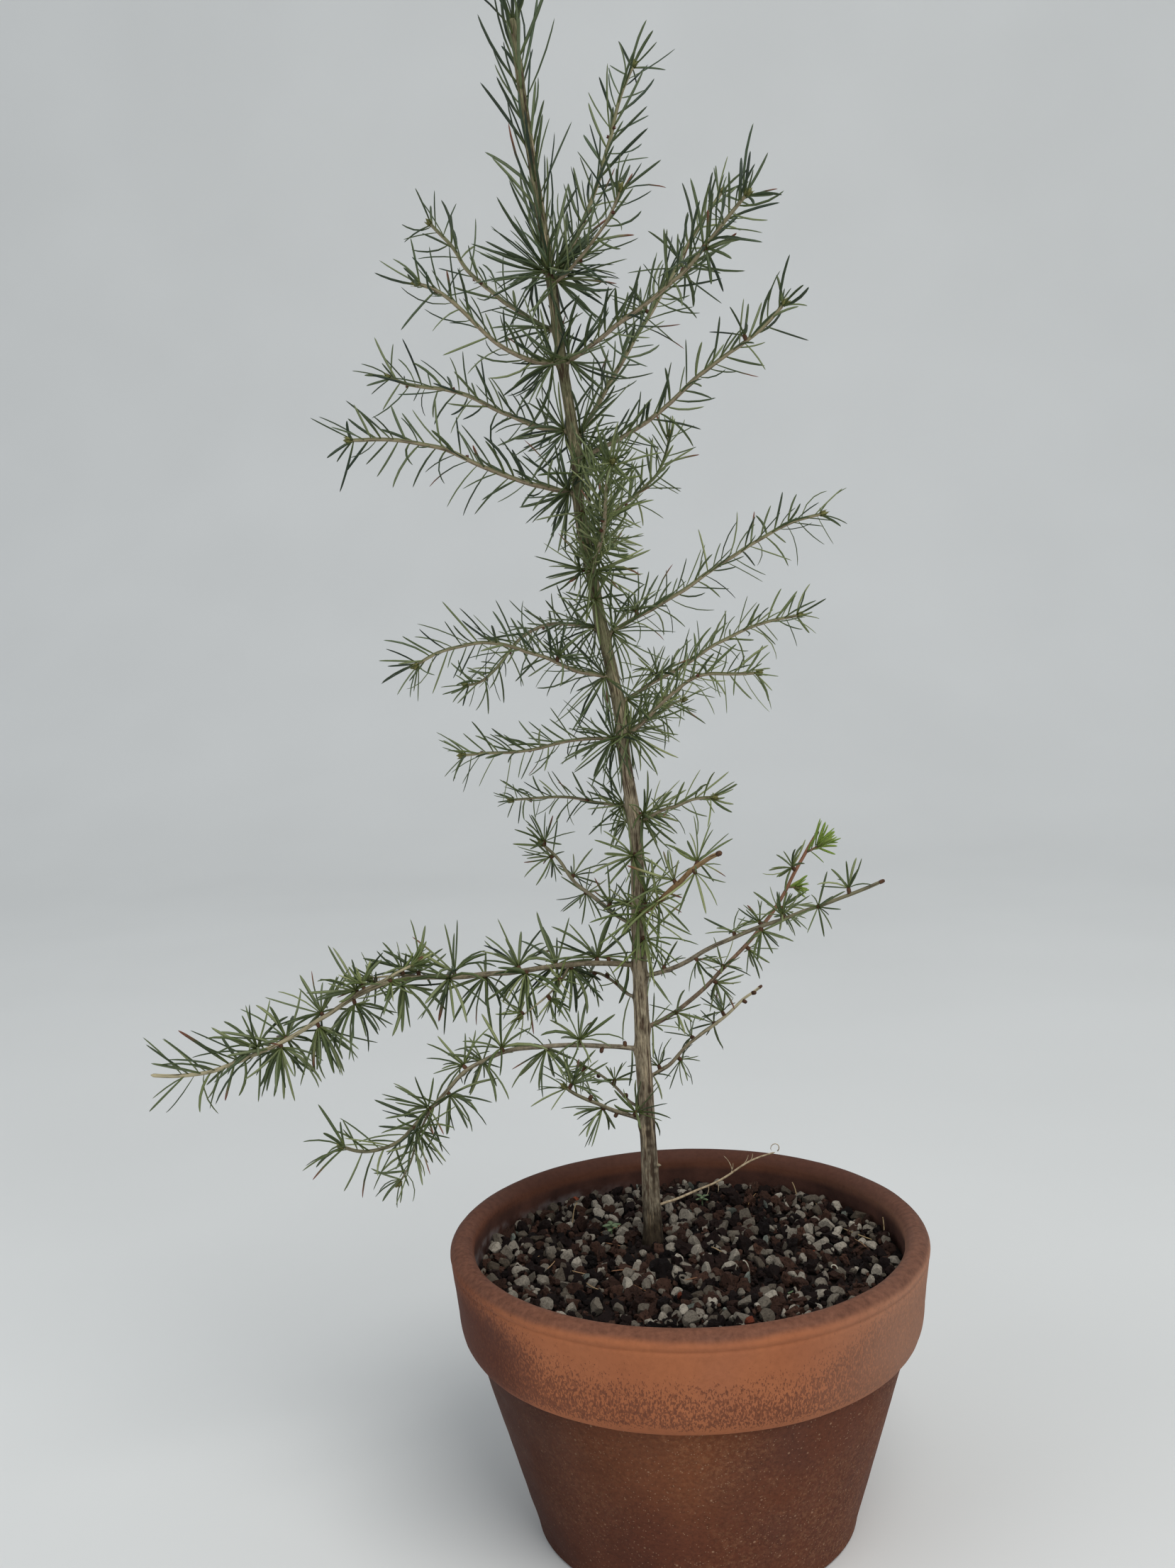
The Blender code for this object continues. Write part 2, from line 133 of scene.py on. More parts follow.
# Branches of each side, from the lowest up: height on the trunk in mm, bearing, length in mm,
# slopes from foot to tip, radius in mm, and foliage
Branch = namedtuple("Branch", "name height bearing length slopes radius foliage")
SIDES = {
    "left": (
        (164, 208, 44, (35, 25, 29, 44), 1.0,
         mature((0.2, 0.52, 0.97), rosette=15, needle=19, collar=2, hang=0.6, fresh=0.4,
                broad=1.05, bare=(0.38, 0.72))),
        (171, 140, 40, (-10, 36, 21, 8), 0.7,
         mature((0.5, 0.97), rosette=7, needle=12, collar=2, fresh=0.75, bare=(0.3, 0.75))),
        (197, 196, 143, (12, 7, -4, -44, -43, 34), 1.05,
         mature((0.2, 0.3, 0.43, 0.49, 0.55, 0.63, 0.7, 0.77), rosette=15, needle=22, collar=1,
                bare=(0.06, 0.13), singles=0.66, step=1.6, hang=0.95, fresh=0.45, broad=1.22,
                tip=7)),
        (220, 150, 30, (-4, 37, 21, -21), 0.75,
         mature((0.45, 0.8), rosette=7, needle=14, collar=3, fresh=0.6, bare=(0.62, 0.95))),
        (234, 183, 220, (8, -7, 2, -33, -23, 8), 1.2,
         mature((0.084, 0.135, 0.163, 0.22, 0.235, 0.3, 0.36, 0.37, 0.43, 0.46, 0.55, 0.565,
                 0.635, 0.65, 0.72, 0.735, 0.78), rosette=18, needle=26, collar=3,
                bare=(0.04, 0.06), singles=0.78, step=1.5, hang=1.05, fresh=0.4, broad=1.4,
                tip=0)),
        (251, 152, 58, (14, 34, 29, 56, 31), 0.9,
         mature((0.28, 0.51, 0.67, 0.88, 1.0), rosette=13, needle=17, fresh=0.5, broad=0.95)),
        (303, 160, 56, (-4, 13, -4, -4), 0.75,
         Foliage(needle=14, hang=0.7, collar=26, step=1.25, broad=0.85, tip=6)),
        (331, 203, 69, (7, 0, -12, 3, 0), 0.8,
         Foliage(needle=18, hang=0.7, collar=30, step=1.3, broad=0.88, tip=8)),
        (357, 204, 88, (9, 23, 22, -8, -31), 0.9,
         Foliage((0.3,), needle=20, hang=0.55, collar=26, broad=0.95, fresh=0.2, tip=9)),
        (377, 146, 83, (10, 5, -30, -45, -6), 0.85,
         Foliage(needle=16, hang=0.5, collar=22, step=1.15, broad=0.92, fresh=0.35, tip=6)),
        (433, 204, 97, (6, 16, 28, 7, -4), 1.05,
         Foliage(needle=20, collar=30, step=1.8, broad=1.15, hang=0.45, fresh=0.2, tip=4)),
        (458, 152, 97, (0, 25, 27, 8, 24), 1.05,
         Foliage(needle=19, collar=28, step=1.7, broad=1.1, fresh=0.18)),
        (485, 208, 68, (-7, 17, 41, 42, 10), 1.05,
         Foliage(needle=21, collar=26, step=1.65, broad=1.15, fresh=0.22, tip=4)),
        (497, 140, 91, (18, 34, 34, 51, 41), 1.05,
         Foliage(needle=21, collar=16, step=2.3, broad=1.1, fresh=0.18, tip=3)),
    ),
    "right": (
        (184, 45, 80, (1, 28, 14, 24, 18), 0.85,
         mature((0.13, 0.27, 0.43, 0.6, 0.68), rosette=12, needle=14, broad=0.85, tip=0,
                collar=4, singles=1.1, bare=(0.84, 0.93), hang=0.5, fresh=0.4)),
        (206, 22, 117, (10, 35, 38, 46, 60, 53), 1.0,
         mature((0.14, 0.33, 0.39, 0.51, 0.6, 0.7, 0.85), rosette=13, needle=15, broad=0.95,
                fresh=0.6, tip=0, singles=1.1)),
        (229, -20, 114, (11, 32, 21, 22, 22), 1.0,
         mature((0.1, 0.24, 0.42, 0.52, 0.62, 0.76, 0.88), rosette=12, needle=15, broad=0.95,
                tip=0, fresh=0.5, singles=1.1)),
        (295, -35, 42, (24, 22, 20, 4), 0.8,
         Foliage(needle=17, collar=11, step=1.7, fresh=0.6, tip=7, broad=0.92)),
        (335, 52, 43, (2, 12, 22, 5), 0.75,
         Foliage(needle=16, collar=16, fresh=0.6, step=1.1, broad=0.85)),
        (332, -34, 74, (25, 41, 35, 0, 1), 0.9,
         Foliage(needle=17, step=1.25, hang=0.5, fresh=0.55, broad=0.95)),
        (346, 22, 91, (26, 26, 28, 16, 5), 0.9,
         Foliage((0.22,), needle=17, step=1.25, hang=0.4, broad=0.92, fresh=0.5)),
        (374, 20, 111, (29, 25, 32, 26, 9), 0.95,
         Foliage((0.16,), needle=18, collar=26, step=1.4, fresh=0.4, broad=0.92, hang=0.45)),
        (419, 42, 66, (14, 27, 39, 78), 0.85,
         Foliage(needle=16, collar=26, step=1.15, fresh=0.5, broad=1.05)),
        (446, -18, 103, (19, 25, 40, 27, 47), 1.0,
         Foliage((0.82,), 7, needle=18, collar=26, step=1.75, broad=1.15, fresh=0.25)),
        (453, 41, 138, (48, 55, 50, 54, 45), 1.05,
         Foliage((0.5,), 8, needle=19, collar=22, step=1.8, broad=1.1, fresh=0.25)),
        (484, -36, 104, (18, 27, 21, 42, 38), 1.0,
         Foliage((0.64, 0.76), 7, needle=22, collar=26, step=1.45, broad=1.2, fresh=0.2)),
        (515, 49, 109, (50, 57, 62, 71, 54), 1.0,
         Foliage(needle=24, collar=18, step=2.0, broad=1.2, fresh=0.15)),
    ),
    "front": (
        (256, -52, 64, (23, 35, 36, 20), 1.25,
         mature((0.12, 0.29, 0.5, 0.72, 0.74), rosette=9, needle=23, broad=1.05, tip=0,
                fresh=0.72, singles=1.1, hang=0.5)),
        (398, -78, 73, (52, 17, 68, 5), 0.85,
         Foliage(needle=19, collar=30, step=0.52, broad=0.95, fresh=0.55, tip=10)),
        (515, -48, 53, (17, 25, 34, 61), 0.75,
         Foliage(needle=21, collar=16, step=1.6, broad=1.1, fresh=0.18)),
    ),
}
BRANCHES = [Branch(f"{side}_branch_{number:02d}", *row)
            for side, rows in SIDES.items() for number, row in enumerate(rows, 1)]
DEAD_TWIG = Branch("dead_twig", 127, 12, 59, (13, 16, 31, 10), 0.62, None)
# Forks of the dead twig: share of its length, angle, reach in mm, radius in mm, and curl
DEAD_FORKS = (
    (0.66, 95, 9, 0.24, 40), (0.64, 60, 5, 0.22, 30), (0.7, 25, 8, 0.26, 50),
    (0.52, -60, 5, 0.22, 50), (0.45, -80, 5, 0.2, 50), (0.8, 40, 4, 0.2, 50),
    (1.0, 20, 10, 0.24, 270),
)
TIP_TAPER = 0.7
# A shoot without needles at its tip is bare for so many points of its line
BARE_TIP = 12
# Skins that aren't the usual one, which is green above a height in mm
SKINS = {"left_branch_05": "pale_twig", "right_branch_01": "pale_twig",
         "front_branch_01": "tan_twig", "right_branch_02": "ruddy_twig"}
YOUNG_WOOD = 280

# Side shoots: the branch each grows from, and the share of that branch's length where it does
SideShoot = namedtuple("SideShoot", "parent share bearing length slopes radius foliage")
SIDE_SHOOTS = (
    SideShoot("left_branch_05", 0.585, 345, 37, (40, 24, 28, 26), 0.75,
              mature((0.3, 0.66), rosette=12, needle=13, fresh=0.9, tip=16, broad=1.3, hang=0.0,
                     spread=36)),
    SideShoot("left_branch_05", 0.14, 200, 30, (-62, -48, -34, -30), 0.5,
              mature((0.25, 0.55, 0.98), rosette=11, needle=13, fresh=0.85, hang=0.6)),
    SideShoot("left_branch_05", 0.42, 170, 24, (10, -4, -10), 0.55,
              mature((0.4, 0.95), rosette=16, needle=18, fresh=0.35)),
    SideShoot("left_branch_03", 0.66, 205, 38, (-40, -62, -70, -50), 0.55,
              Foliage(needle=19, step=1.7, hang=1.0, fresh=0.4, broad=1.0)),
    SideShoot("right_branch_02", 0.93, -20, 6, (20, 28, 36), 0.6,
              Foliage(needle=13, step=0.8, fresh=1.75, tip=17, hang=0.0, broad=1.3, spread=27)),
    SideShoot("right_branch_02", 0.78, -20, 4, (10, 0), 0.5,
              Foliage(needle=7, step=0.8, fresh=1.7, tip=11, hang=0.0, broad=1.2, spread=32)),
)

# Tufts that stand on the trunk itself: height and bearing, needles, length in mm, freshness
# and droop
Tuft = namedtuple("Tuft", "height bearing count needle fresh hang", defaults=(0.25,))
TRUNK_TUFTS = (
    Tuft(247, -50, 14, 21, 1.1, 0.7), Tuft(258, -85, 13, 20, 1.0, 0.8),
    Tuft(268, -35, 12, 20, 1.0, 0.6), Tuft(262, 160, 10, 15, 0.8, 0.6),
    Tuft(283, -110, 22, 17, 0.65, 0.5), Tuft(300, -20, 24, 17, 0.6, 0.6),
    Tuft(297, 150, 14, 13, 0.5), Tuft(402, 190, 16, 17, 0.5), Tuft(411, -20, 22, 17, 0.65),
    Tuft(390, -95, 18, 17, 0.7), Tuft(425, -60, 16, 18, 0.65), Tuft(440, -75, 14, 20, 0.45),
    Tuft(518, -90, 22, 24, 0.15), Tuft(519, 175, 28, 27, 0.12), Tuft(520, 20, 26, 26, 0.12),
)

# Grains of grit: how many, their smallest and largest size in mm, how far they rise out of the
# soil, how flat they are, how rough, the size of their bumps, how often they are cut, and how
# often their faces are split
Grit = namedtuple("Grit", "name paint count small large rise squash rough bump cuts splits")
GRIT = (
    Grit("grit_pumice", "pumice", 380, 4.4, 8.8, 0.12, (0.55, 0.85), 0.12, 0.5, 11, 2),
    Grit("grit_gravel", "pumice", 300, 2.4, 4.2, 0.22, (0.55, 0.9), 0.08, 0.6, 6, 1),
    Grit("grit_lava", "lava", 460, 4.0, 8.4, 0.03, (0.6, 0.95), 0.6, 0.4, 3, 2),
    Grit("grit_crumbs", "lava", 1500, 1.6, 3.6, 0.0, (0.6, 0.95), 0.45, 0.6, 2, 1),
    Grit("grit_zeolite", "zeolite", 24, 4.0, 7.0, 0.2, (0.25, 0.42), 0.08, 0.6, 8, 2),
    Grit("grit_red", "red_grain", 6, 3.6, 5.6, 0.22, (0.5, 0.7), 0.08, 0.6, 8, 2),
)
# The largest lump of lava, in front of the trunk: place and size
BIG_LUMP = np.array((-10.9, -9.7, 10.5)) * MM

# What grows and lies on the grit, in mm from the pot's axis
Weed = namedtuple("Weed", "right back height leaf leaves")
WEEDS = (Weed(-33.5, 28.5, 7, 4.4, 7), Weed(7, 61, 6, 3.4, 6), Weed(40, -36, 3.5, 1.6, 4))
Stalk = namedtuple("Stalk", "right back length lean bearing curl")
DRY_STALKS = (Stalk(-52, 43, 12, 8, 20, 30), Stalk(51, 67, 9, 12, 160, 20),
              Stalk(85, 24, 8, 10, 100, 25), Stalk(20, 0, 13, 62, 150, 25))
PALE_SPROUTS = (Stalk(61, -17, 9, 3, 180, 210), Stalk(25, -12, 8, 10, 200, 60))

# Camera at the photograph's angle: its place from the pot's axis, its turns and its lens
CAMERA_FROM_AXIS = (0.0, -0.659, 0.3953)
CAMERA_YAW = -0.0527
CAMERA_DOWN = 0.121
CAMERA_ROLL = -0.040
CAMERA_LENS_MM = 37.43


# Numbers and directions


def lattice(cell, seed):
    """A repeatable number from 0 to 1 for each whole-numbered cell."""
    mixed = cell[..., 0] * 73856093 ^ cell[..., 1] * 19349663 ^ cell[..., 2] * 83492791
    mixed = (mixed ^ seed * 826366247) & 0xFFFFFFFF
    for shift, factor in ((15, 1597334677), (13, 1274126177)):
        mixed = ((mixed ^ (mixed >> shift)) * factor) & 0xFFFFFFFF
    return ((mixed ^ (mixed >> 16)) & 0xFFFF) / 65535.0


def smooth_noise(points, size, seed):
    """Noise from -1 to 1 whose bumps are about size apart; size is one number or three."""
    scaled = np.asarray(points) / size
    cell = np.floor(scaled).astype(np.int64)
    part = scaled - cell
    part = part * part * (3 - 2 * part)
    total = np.zeros(scaled.shape[:-1])
    for corner in itertools.product((0, 1), repeat=3):
        weight = np.prod(np.where(np.array(corner, bool), part, 1 - part), axis=-1)
        total += weight * lattice(cell + np.array(corner), seed)
    return total * 2 - 1


def unit(vectors):
    return vectors / np.maximum(np.linalg.norm(vectors, axis=-1, keepdims=True), 1e-12)


def dot(first, second):
    return np.sum(first * second, axis=-1, keepdims=True)


def turned(first, second, angle):
    """The first direction, turned by an angle towards the second."""
    return first * np.cos(angle) + second * np.sin(angle)


def crossways(axis, nudge):
    """Two directions across an axis. The nudge keeps them sound for an upright axis."""
    side = unit(np.cross(axis, UP + nudge))
    return side, np.cross(axis, side)


def bearing_vector(bearing):
    return turned(RIGHT, BACK, math.radians(bearing))


def ring_angles(turns):
    return 2 * np.pi * np.arange(turns) / turns


def cylinder(radii, angles, levels):
    """Rings of points round the Z axis, one for each level."""
    rings = np.empty((len(levels), len(angles), 3))
    column = np.reshape(radii, (-1, 1))
    rings[..., 0] = column * np.cos(angles)
    rings[..., 1] = column * np.sin(angles)
    rings[..., 2] = np.reshape(levels, (-1, 1))
    return rings


def run_lengths(line):
    """How far along a line each of its points is."""
    return np.concatenate(([0], np.cumsum(np.linalg.norm(np.diff(line, axis=0), axis=1))))


def frames_along(line):
    """Direction, side and normal at each point of a line, without twist."""
    heading = unit(np.gradient(line, axis=0))
    side = np.cross(heading[0], UP)
    if np.linalg.norm(side) < 0.1:
        side = np.cross(heading[0], BACK)
    sides = []
    for direction in heading:
        side = side - direction * np.dot(side, direction)
        side = side / np.linalg.norm(side)
        sides.append(side)
    return heading, np.array(sides), np.cross(heading, sides)


def smooth_through(values, places, where):
    """A smooth curve through values at places, read at where."""
    slopes = np.gradient(values, places, axis=0)
    index = np.clip(np.searchsorted(places, where) - 1, 0, len(places) - 2)
    width = (places[index + 1] - places[index])[:, None]
    share = (where - places[index])[:, None] / width
    low = (1 + 2 * share) * (1 - share) ** 2 * values[index]
    low = low + share * (1 - share) ** 2 * width * slopes[index]
    high = share**2 * (3 - 2 * share) * values[index + 1]
    return low + high + share**2 * (share - 1) * width * slopes[index + 1]


TRUNK_HEIGHTS = np.array([station.height for station in TRUNK]) * MM
TRUNK_CENTRES = np.array([(s.right, s.back, s.height) for s in TRUNK]) * MM + POT_AXIS
TRUNK_RADII = np.array([station.radius for station in TRUNK]) * MM


def trunk_at(height):
    """Centre and radius of the trunk at a height in mm."""
    centre = smooth_through(TRUNK_CENTRES, TRUNK_HEIGHTS, np.array([height * MM]))[0]
    return centre, float(np.interp(height * MM, TRUNK_HEIGHTS, TRUNK_RADII))


def branch_line(branch, centre):
    """Points a millimetre apart along a shoot from a centre to its tip, with a slight waver."""
    count = max(8, branch.length)
    knots = np.linspace(0, 1, len(branch.slopes))
    slope = np.radians(np.interp((np.arange(count) + 0.5) / count, knots, branch.slopes))
    heading = turned(bearing_vector(branch.bearing), UP, slope[:, None])
    steps = heading * (branch.length * MM / count)
    line = centre + np.vstack((np.zeros(3), np.cumsum(steps, axis=0)))
    fade = np.clip(np.linspace(0, 6, count + 1), 0, 1)[:, None]
    waver = np.stack([smooth_noise(line, 11 * MM, 31 + axis) for axis in range(3)], axis=-1)
    return line + waver * fade * 0.55 * MM


def soil_height(right, back):
    """The lie of the grit: a little higher to the right and at the back, with a mound round
    the trunk."""
    lift = 0.9 * MM * right / SOIL_RADIUS + 0.6 * MM * back / SOIL_RADIUS
    spot = np.stack((right, back, np.zeros_like(right)), axis=-1)
    reach = np.hypot(right - ROOT.right * MM, back - ROOT.back * MM)
    mound = 3.2 * MM * np.exp(-((reach / (15 * MM)) ** 2))
    return SOIL_LEVEL + lift + mound + 1.0 * MM * smooth_noise(spot, 26 * MM, 3)


def on_soil(right, back, lift):
    """A point so far above the grit."""
    level = soil_height(np.array(right), np.array(back)) + lift
    return POT_AXIS + np.array((right, back, level))


# Meshes


def ring_faces(rings, sides, closed_ends=True):
    """Faces of a tube of rings, with its two ends closed by fans of triangles."""
    ring = np.arange(rings - 1)[:, None] * sides
    side = np.arange(sides)[None, :]
    following = (side + 1) % sides
    corners = (ring + side, ring + following, ring + sides + following, ring + sides + side)
    quads = np.stack(corners, axis=-1).reshape(-1, 4)
    if not closed_ends:
        return quads
    fan = np.arange(1, sides - 1)
    blank = np.full(len(fan), -1)
    low = np.stack((np.zeros(len(fan), int), fan + 1, fan, blank), axis=-1)
    last = (rings - 1) * sides
    high = np.stack((np.full(len(fan), last), last + fan, last + fan + 1, blank), axis=-1)
    return np.concatenate((quads, low, high))


def tube_points(line, radii, sides):
    """Rings of points round a line. Radii is one for all, one for each ring or for each point."""
    _, across, over = frames_along(line)
    radii = np.asarray(radii, float)
    if radii.ndim == 1:
        radii = radii[:, None]
    ring = turned(across[:, None], over[:, None], ring_angles(sides)[None, :, None])
    return line[:, None, :] + ring * np.broadcast_to(radii, (len(line), sides))[..., None]


class Collected:
    """Points, faces and marks of one piece, gathered shape by shape."""

    def __init__(self):
        self.points = []
        self.faces = []
        self.slots = []
        self.marks = {}
        self.count = 0

    def add(self, points, faces, slot=0, **marks):
        """Faces have four corners, with -1 as the last of a triangle."""
        points = np.asarray(points, float).reshape(-1, 3)
        faces = np.asarray(faces, np.int64)
        self.faces.append(np.where(faces >= 0, faces + self.count, -1))
        self.slots.append(np.full(len(faces), slot))
        self.points.append(points)
        for name, values in marks.items():
            spread = np.broadcast_to(np.ravel(values), (len(points),))
            self.marks.setdefault(name, []).append(spread)
        self.count += len(points)

    def rings(self, points, slot=0, **marks):
        """A closed body through rows of points, each row a ring."""
        self.add(points, ring_faces(*points.shape[:2]), slot, **marks)

    def piece(self, name, paints, slot_name, replaced=None, origin=(0.0, 0.0, 0.0), smooth=True):
        """The finished object, with its own origin, riding on the pot."""
        points = np.concatenate(self.points)
        faces = np.concatenate(self.faces)
        corners_kept = faces >= 0
        sizes = corners_kept.sum(axis=1)
        mesh = bpy.data.meshes.new(name)
        mesh.vertices.add(len(points))
        mesh.vertices.foreach_set("co", points.astype(np.float32).ravel())
        mesh.loops.add(int(sizes.sum()))
        mesh.loops.foreach_set("vertex_index", faces[corners_kept].astype(np.int32))
        mesh.polygons.add(len(faces))
        starts = np.concatenate(([0], np.cumsum(sizes)[:-1]))
        for setting, values in (("loop_start", starts), ("material_index", self.slots)):
            whole = np.hstack(values).astype(np.int32)
            mesh.polygons.foreach_set(setting, whole)
        mesh.polygons.foreach_set("use_smooth", np.full(len(faces), smooth))
        mesh.update(calc_edges=True)
        for mark, values in self.marks.items():
            layer = mesh.attributes.new(mark, "FLOAT", "POINT")
            layer.data.foreach_set("value", np.concatenate(values).astype(np.float32))
        mesh.validate()
        for paint in paints:
            mesh.materials.append(PAINTS[paint])
        made = bpy.data.objects.new(name, mesh)
        made.location = origin
        bpy.context.scene.collection.objects.link(made)
        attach(made, "root")
        if replaced:
            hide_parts(replaced)


# Materials


def rgba(colour, share=1.0):
    """A share of the linear colour of a screen colour, which is given as six hex digits."""
    screen = [int(colour[place:place + 2], 16) / 255 for place in (0, 2, 4)]
    linear = [v / 12.92 if v <= 0.04045 else ((v + 0.055) / 1.055) ** 2.4 for v in screen]
    return (*(value * share for value in linear), 1.0)


class Paint:
    """A node material, built step by step. Colours are screen colours in hex digits."""

    def __init__(self, name, roughness=0.8, specular=0.3):
        self.material = bpy.data.materials.new(name)
        self.material.use_nodes = True
        self.tree = self.material.node_tree
        self.shader = self.tree.nodes["Principled BSDF"]
        self.set(self.shader, "Roughness", roughness)
        self.set(self.shader, "Specular IOR Level", specular)
        self.spot = self.node("ShaderNodeTexCoord").outputs["Object"]

    def node(self, kind, inputs=(), **settings):
        made = self.tree.nodes.new(kind)
        for name, value in settings.items():
            setattr(made, name, value)
        for socket, value in dict(inputs).items():
            self.set(made, socket, value)
        return made

    def set(self, node, socket, value):
        if isinstance(value, bpy.types.NodeSocket):
            self.tree.links.new(value, node.inputs[socket])
        else:
            node.inputs[socket].default_value = rgba(value) if isinstance(value, str) else value

    def mark(self, name):
        return self.node("ShaderNodeAttribute", attribute_name=name).outputs["Fac"]

    def stretched(self, stretch, spot=None):
        inputs = {"Vector": spot or self.spot, "Scale": stretch}
        return self.node("ShaderNodeMapping", inputs).outputs["Vector"]

    def noise(self, scale, detail=4.0, rough=0.55, stretch=None, spot=None):
        if stretch:
            spot = self.stretched(stretch, spot)
        inputs = {"Vector": spot or self.spot, "Scale": scale, "Detail": detail,
                  "Roughness": rough}
        return self.node("ShaderNodeTexNoise", inputs).outputs["Fac"]

    def cells(self, scale):
        return self.node("ShaderNodeTexVoronoi", {"Vector": self.spot, "Scale": scale}).outputs

    def ramp(self, value, *stops):
        """Stops are (place, colour) with a colour, or (place, number) with a grey."""
        made = self.node("ShaderNodeValToRGB", {"Fac": value})
        band = made.color_ramp
        while len(band.elements) < len(stops):
            band.elements.new(1.0)
        for element, (place, tint) in zip(band.elements, stops):
            element.position = place
            element.color = rgba(tint) if isinstance(tint, str) else (tint, tint, tint, 1.0)
        return made.outputs["Color"]

    def math(self, operation, first, second=None, clamp=False):
        inputs = {0: first} if second is None else {0: first, 1: second}
        made = self.node("ShaderNodeMath", inputs, operation=operation, use_clamp=clamp)
        return made.outputs["Value"]

    def times(self, first, second):
        return self.math("MULTIPLY", first, second)

    def plus(self, value, other, amount=1.0):
        """The value and so much of another."""
        return self.math("ADD", value, self.times(other, amount))

    def between(self, value, low, high):
        """0 below low, 1 above high."""
        inputs = {"Value": value, "From Min": low, "From Max": high}
        made = self.node("ShaderNodeMapRange", inputs, interpolation_type="SMOOTHSTEP")
        return made.outputs["Result"]

    def under(self, value, low, high):
        """1 below low, 0 above high."""
        return self.math("SUBTRACT", 1.0, self.between(value, low, high))

    def mix(self, share, first, second, blend="MIX"):
        inputs = {0: share, 6: first, 7: second}
        made = self.node("ShaderNodeMix", inputs, data_type="RGBA", blend_type=blend)
        return made.outputs[2]

    def cover(self, base, share, strength, tint):
        """The base under a tint of some strength, where the share says."""
        return self.mix(self.times(share, strength), base, tint)

    def shade(self, base, by):
        return self.mix(1.0, base, by, "MULTIPLY")

    def bump(self, value, strength, distance):
        inputs = {"Strength": strength, "Distance": distance, "Height": value}
        if self.shader.inputs["Normal"].is_linked:
            inputs["Normal"] = self.shader.inputs["Normal"].links[0].from_socket
        made = self.node("ShaderNodeBump", inputs)
        self.set(self.shader, "Normal", made.outputs["Normal"])

    def colour(self, value):
        self.set(self.shader, "Base Color", value)


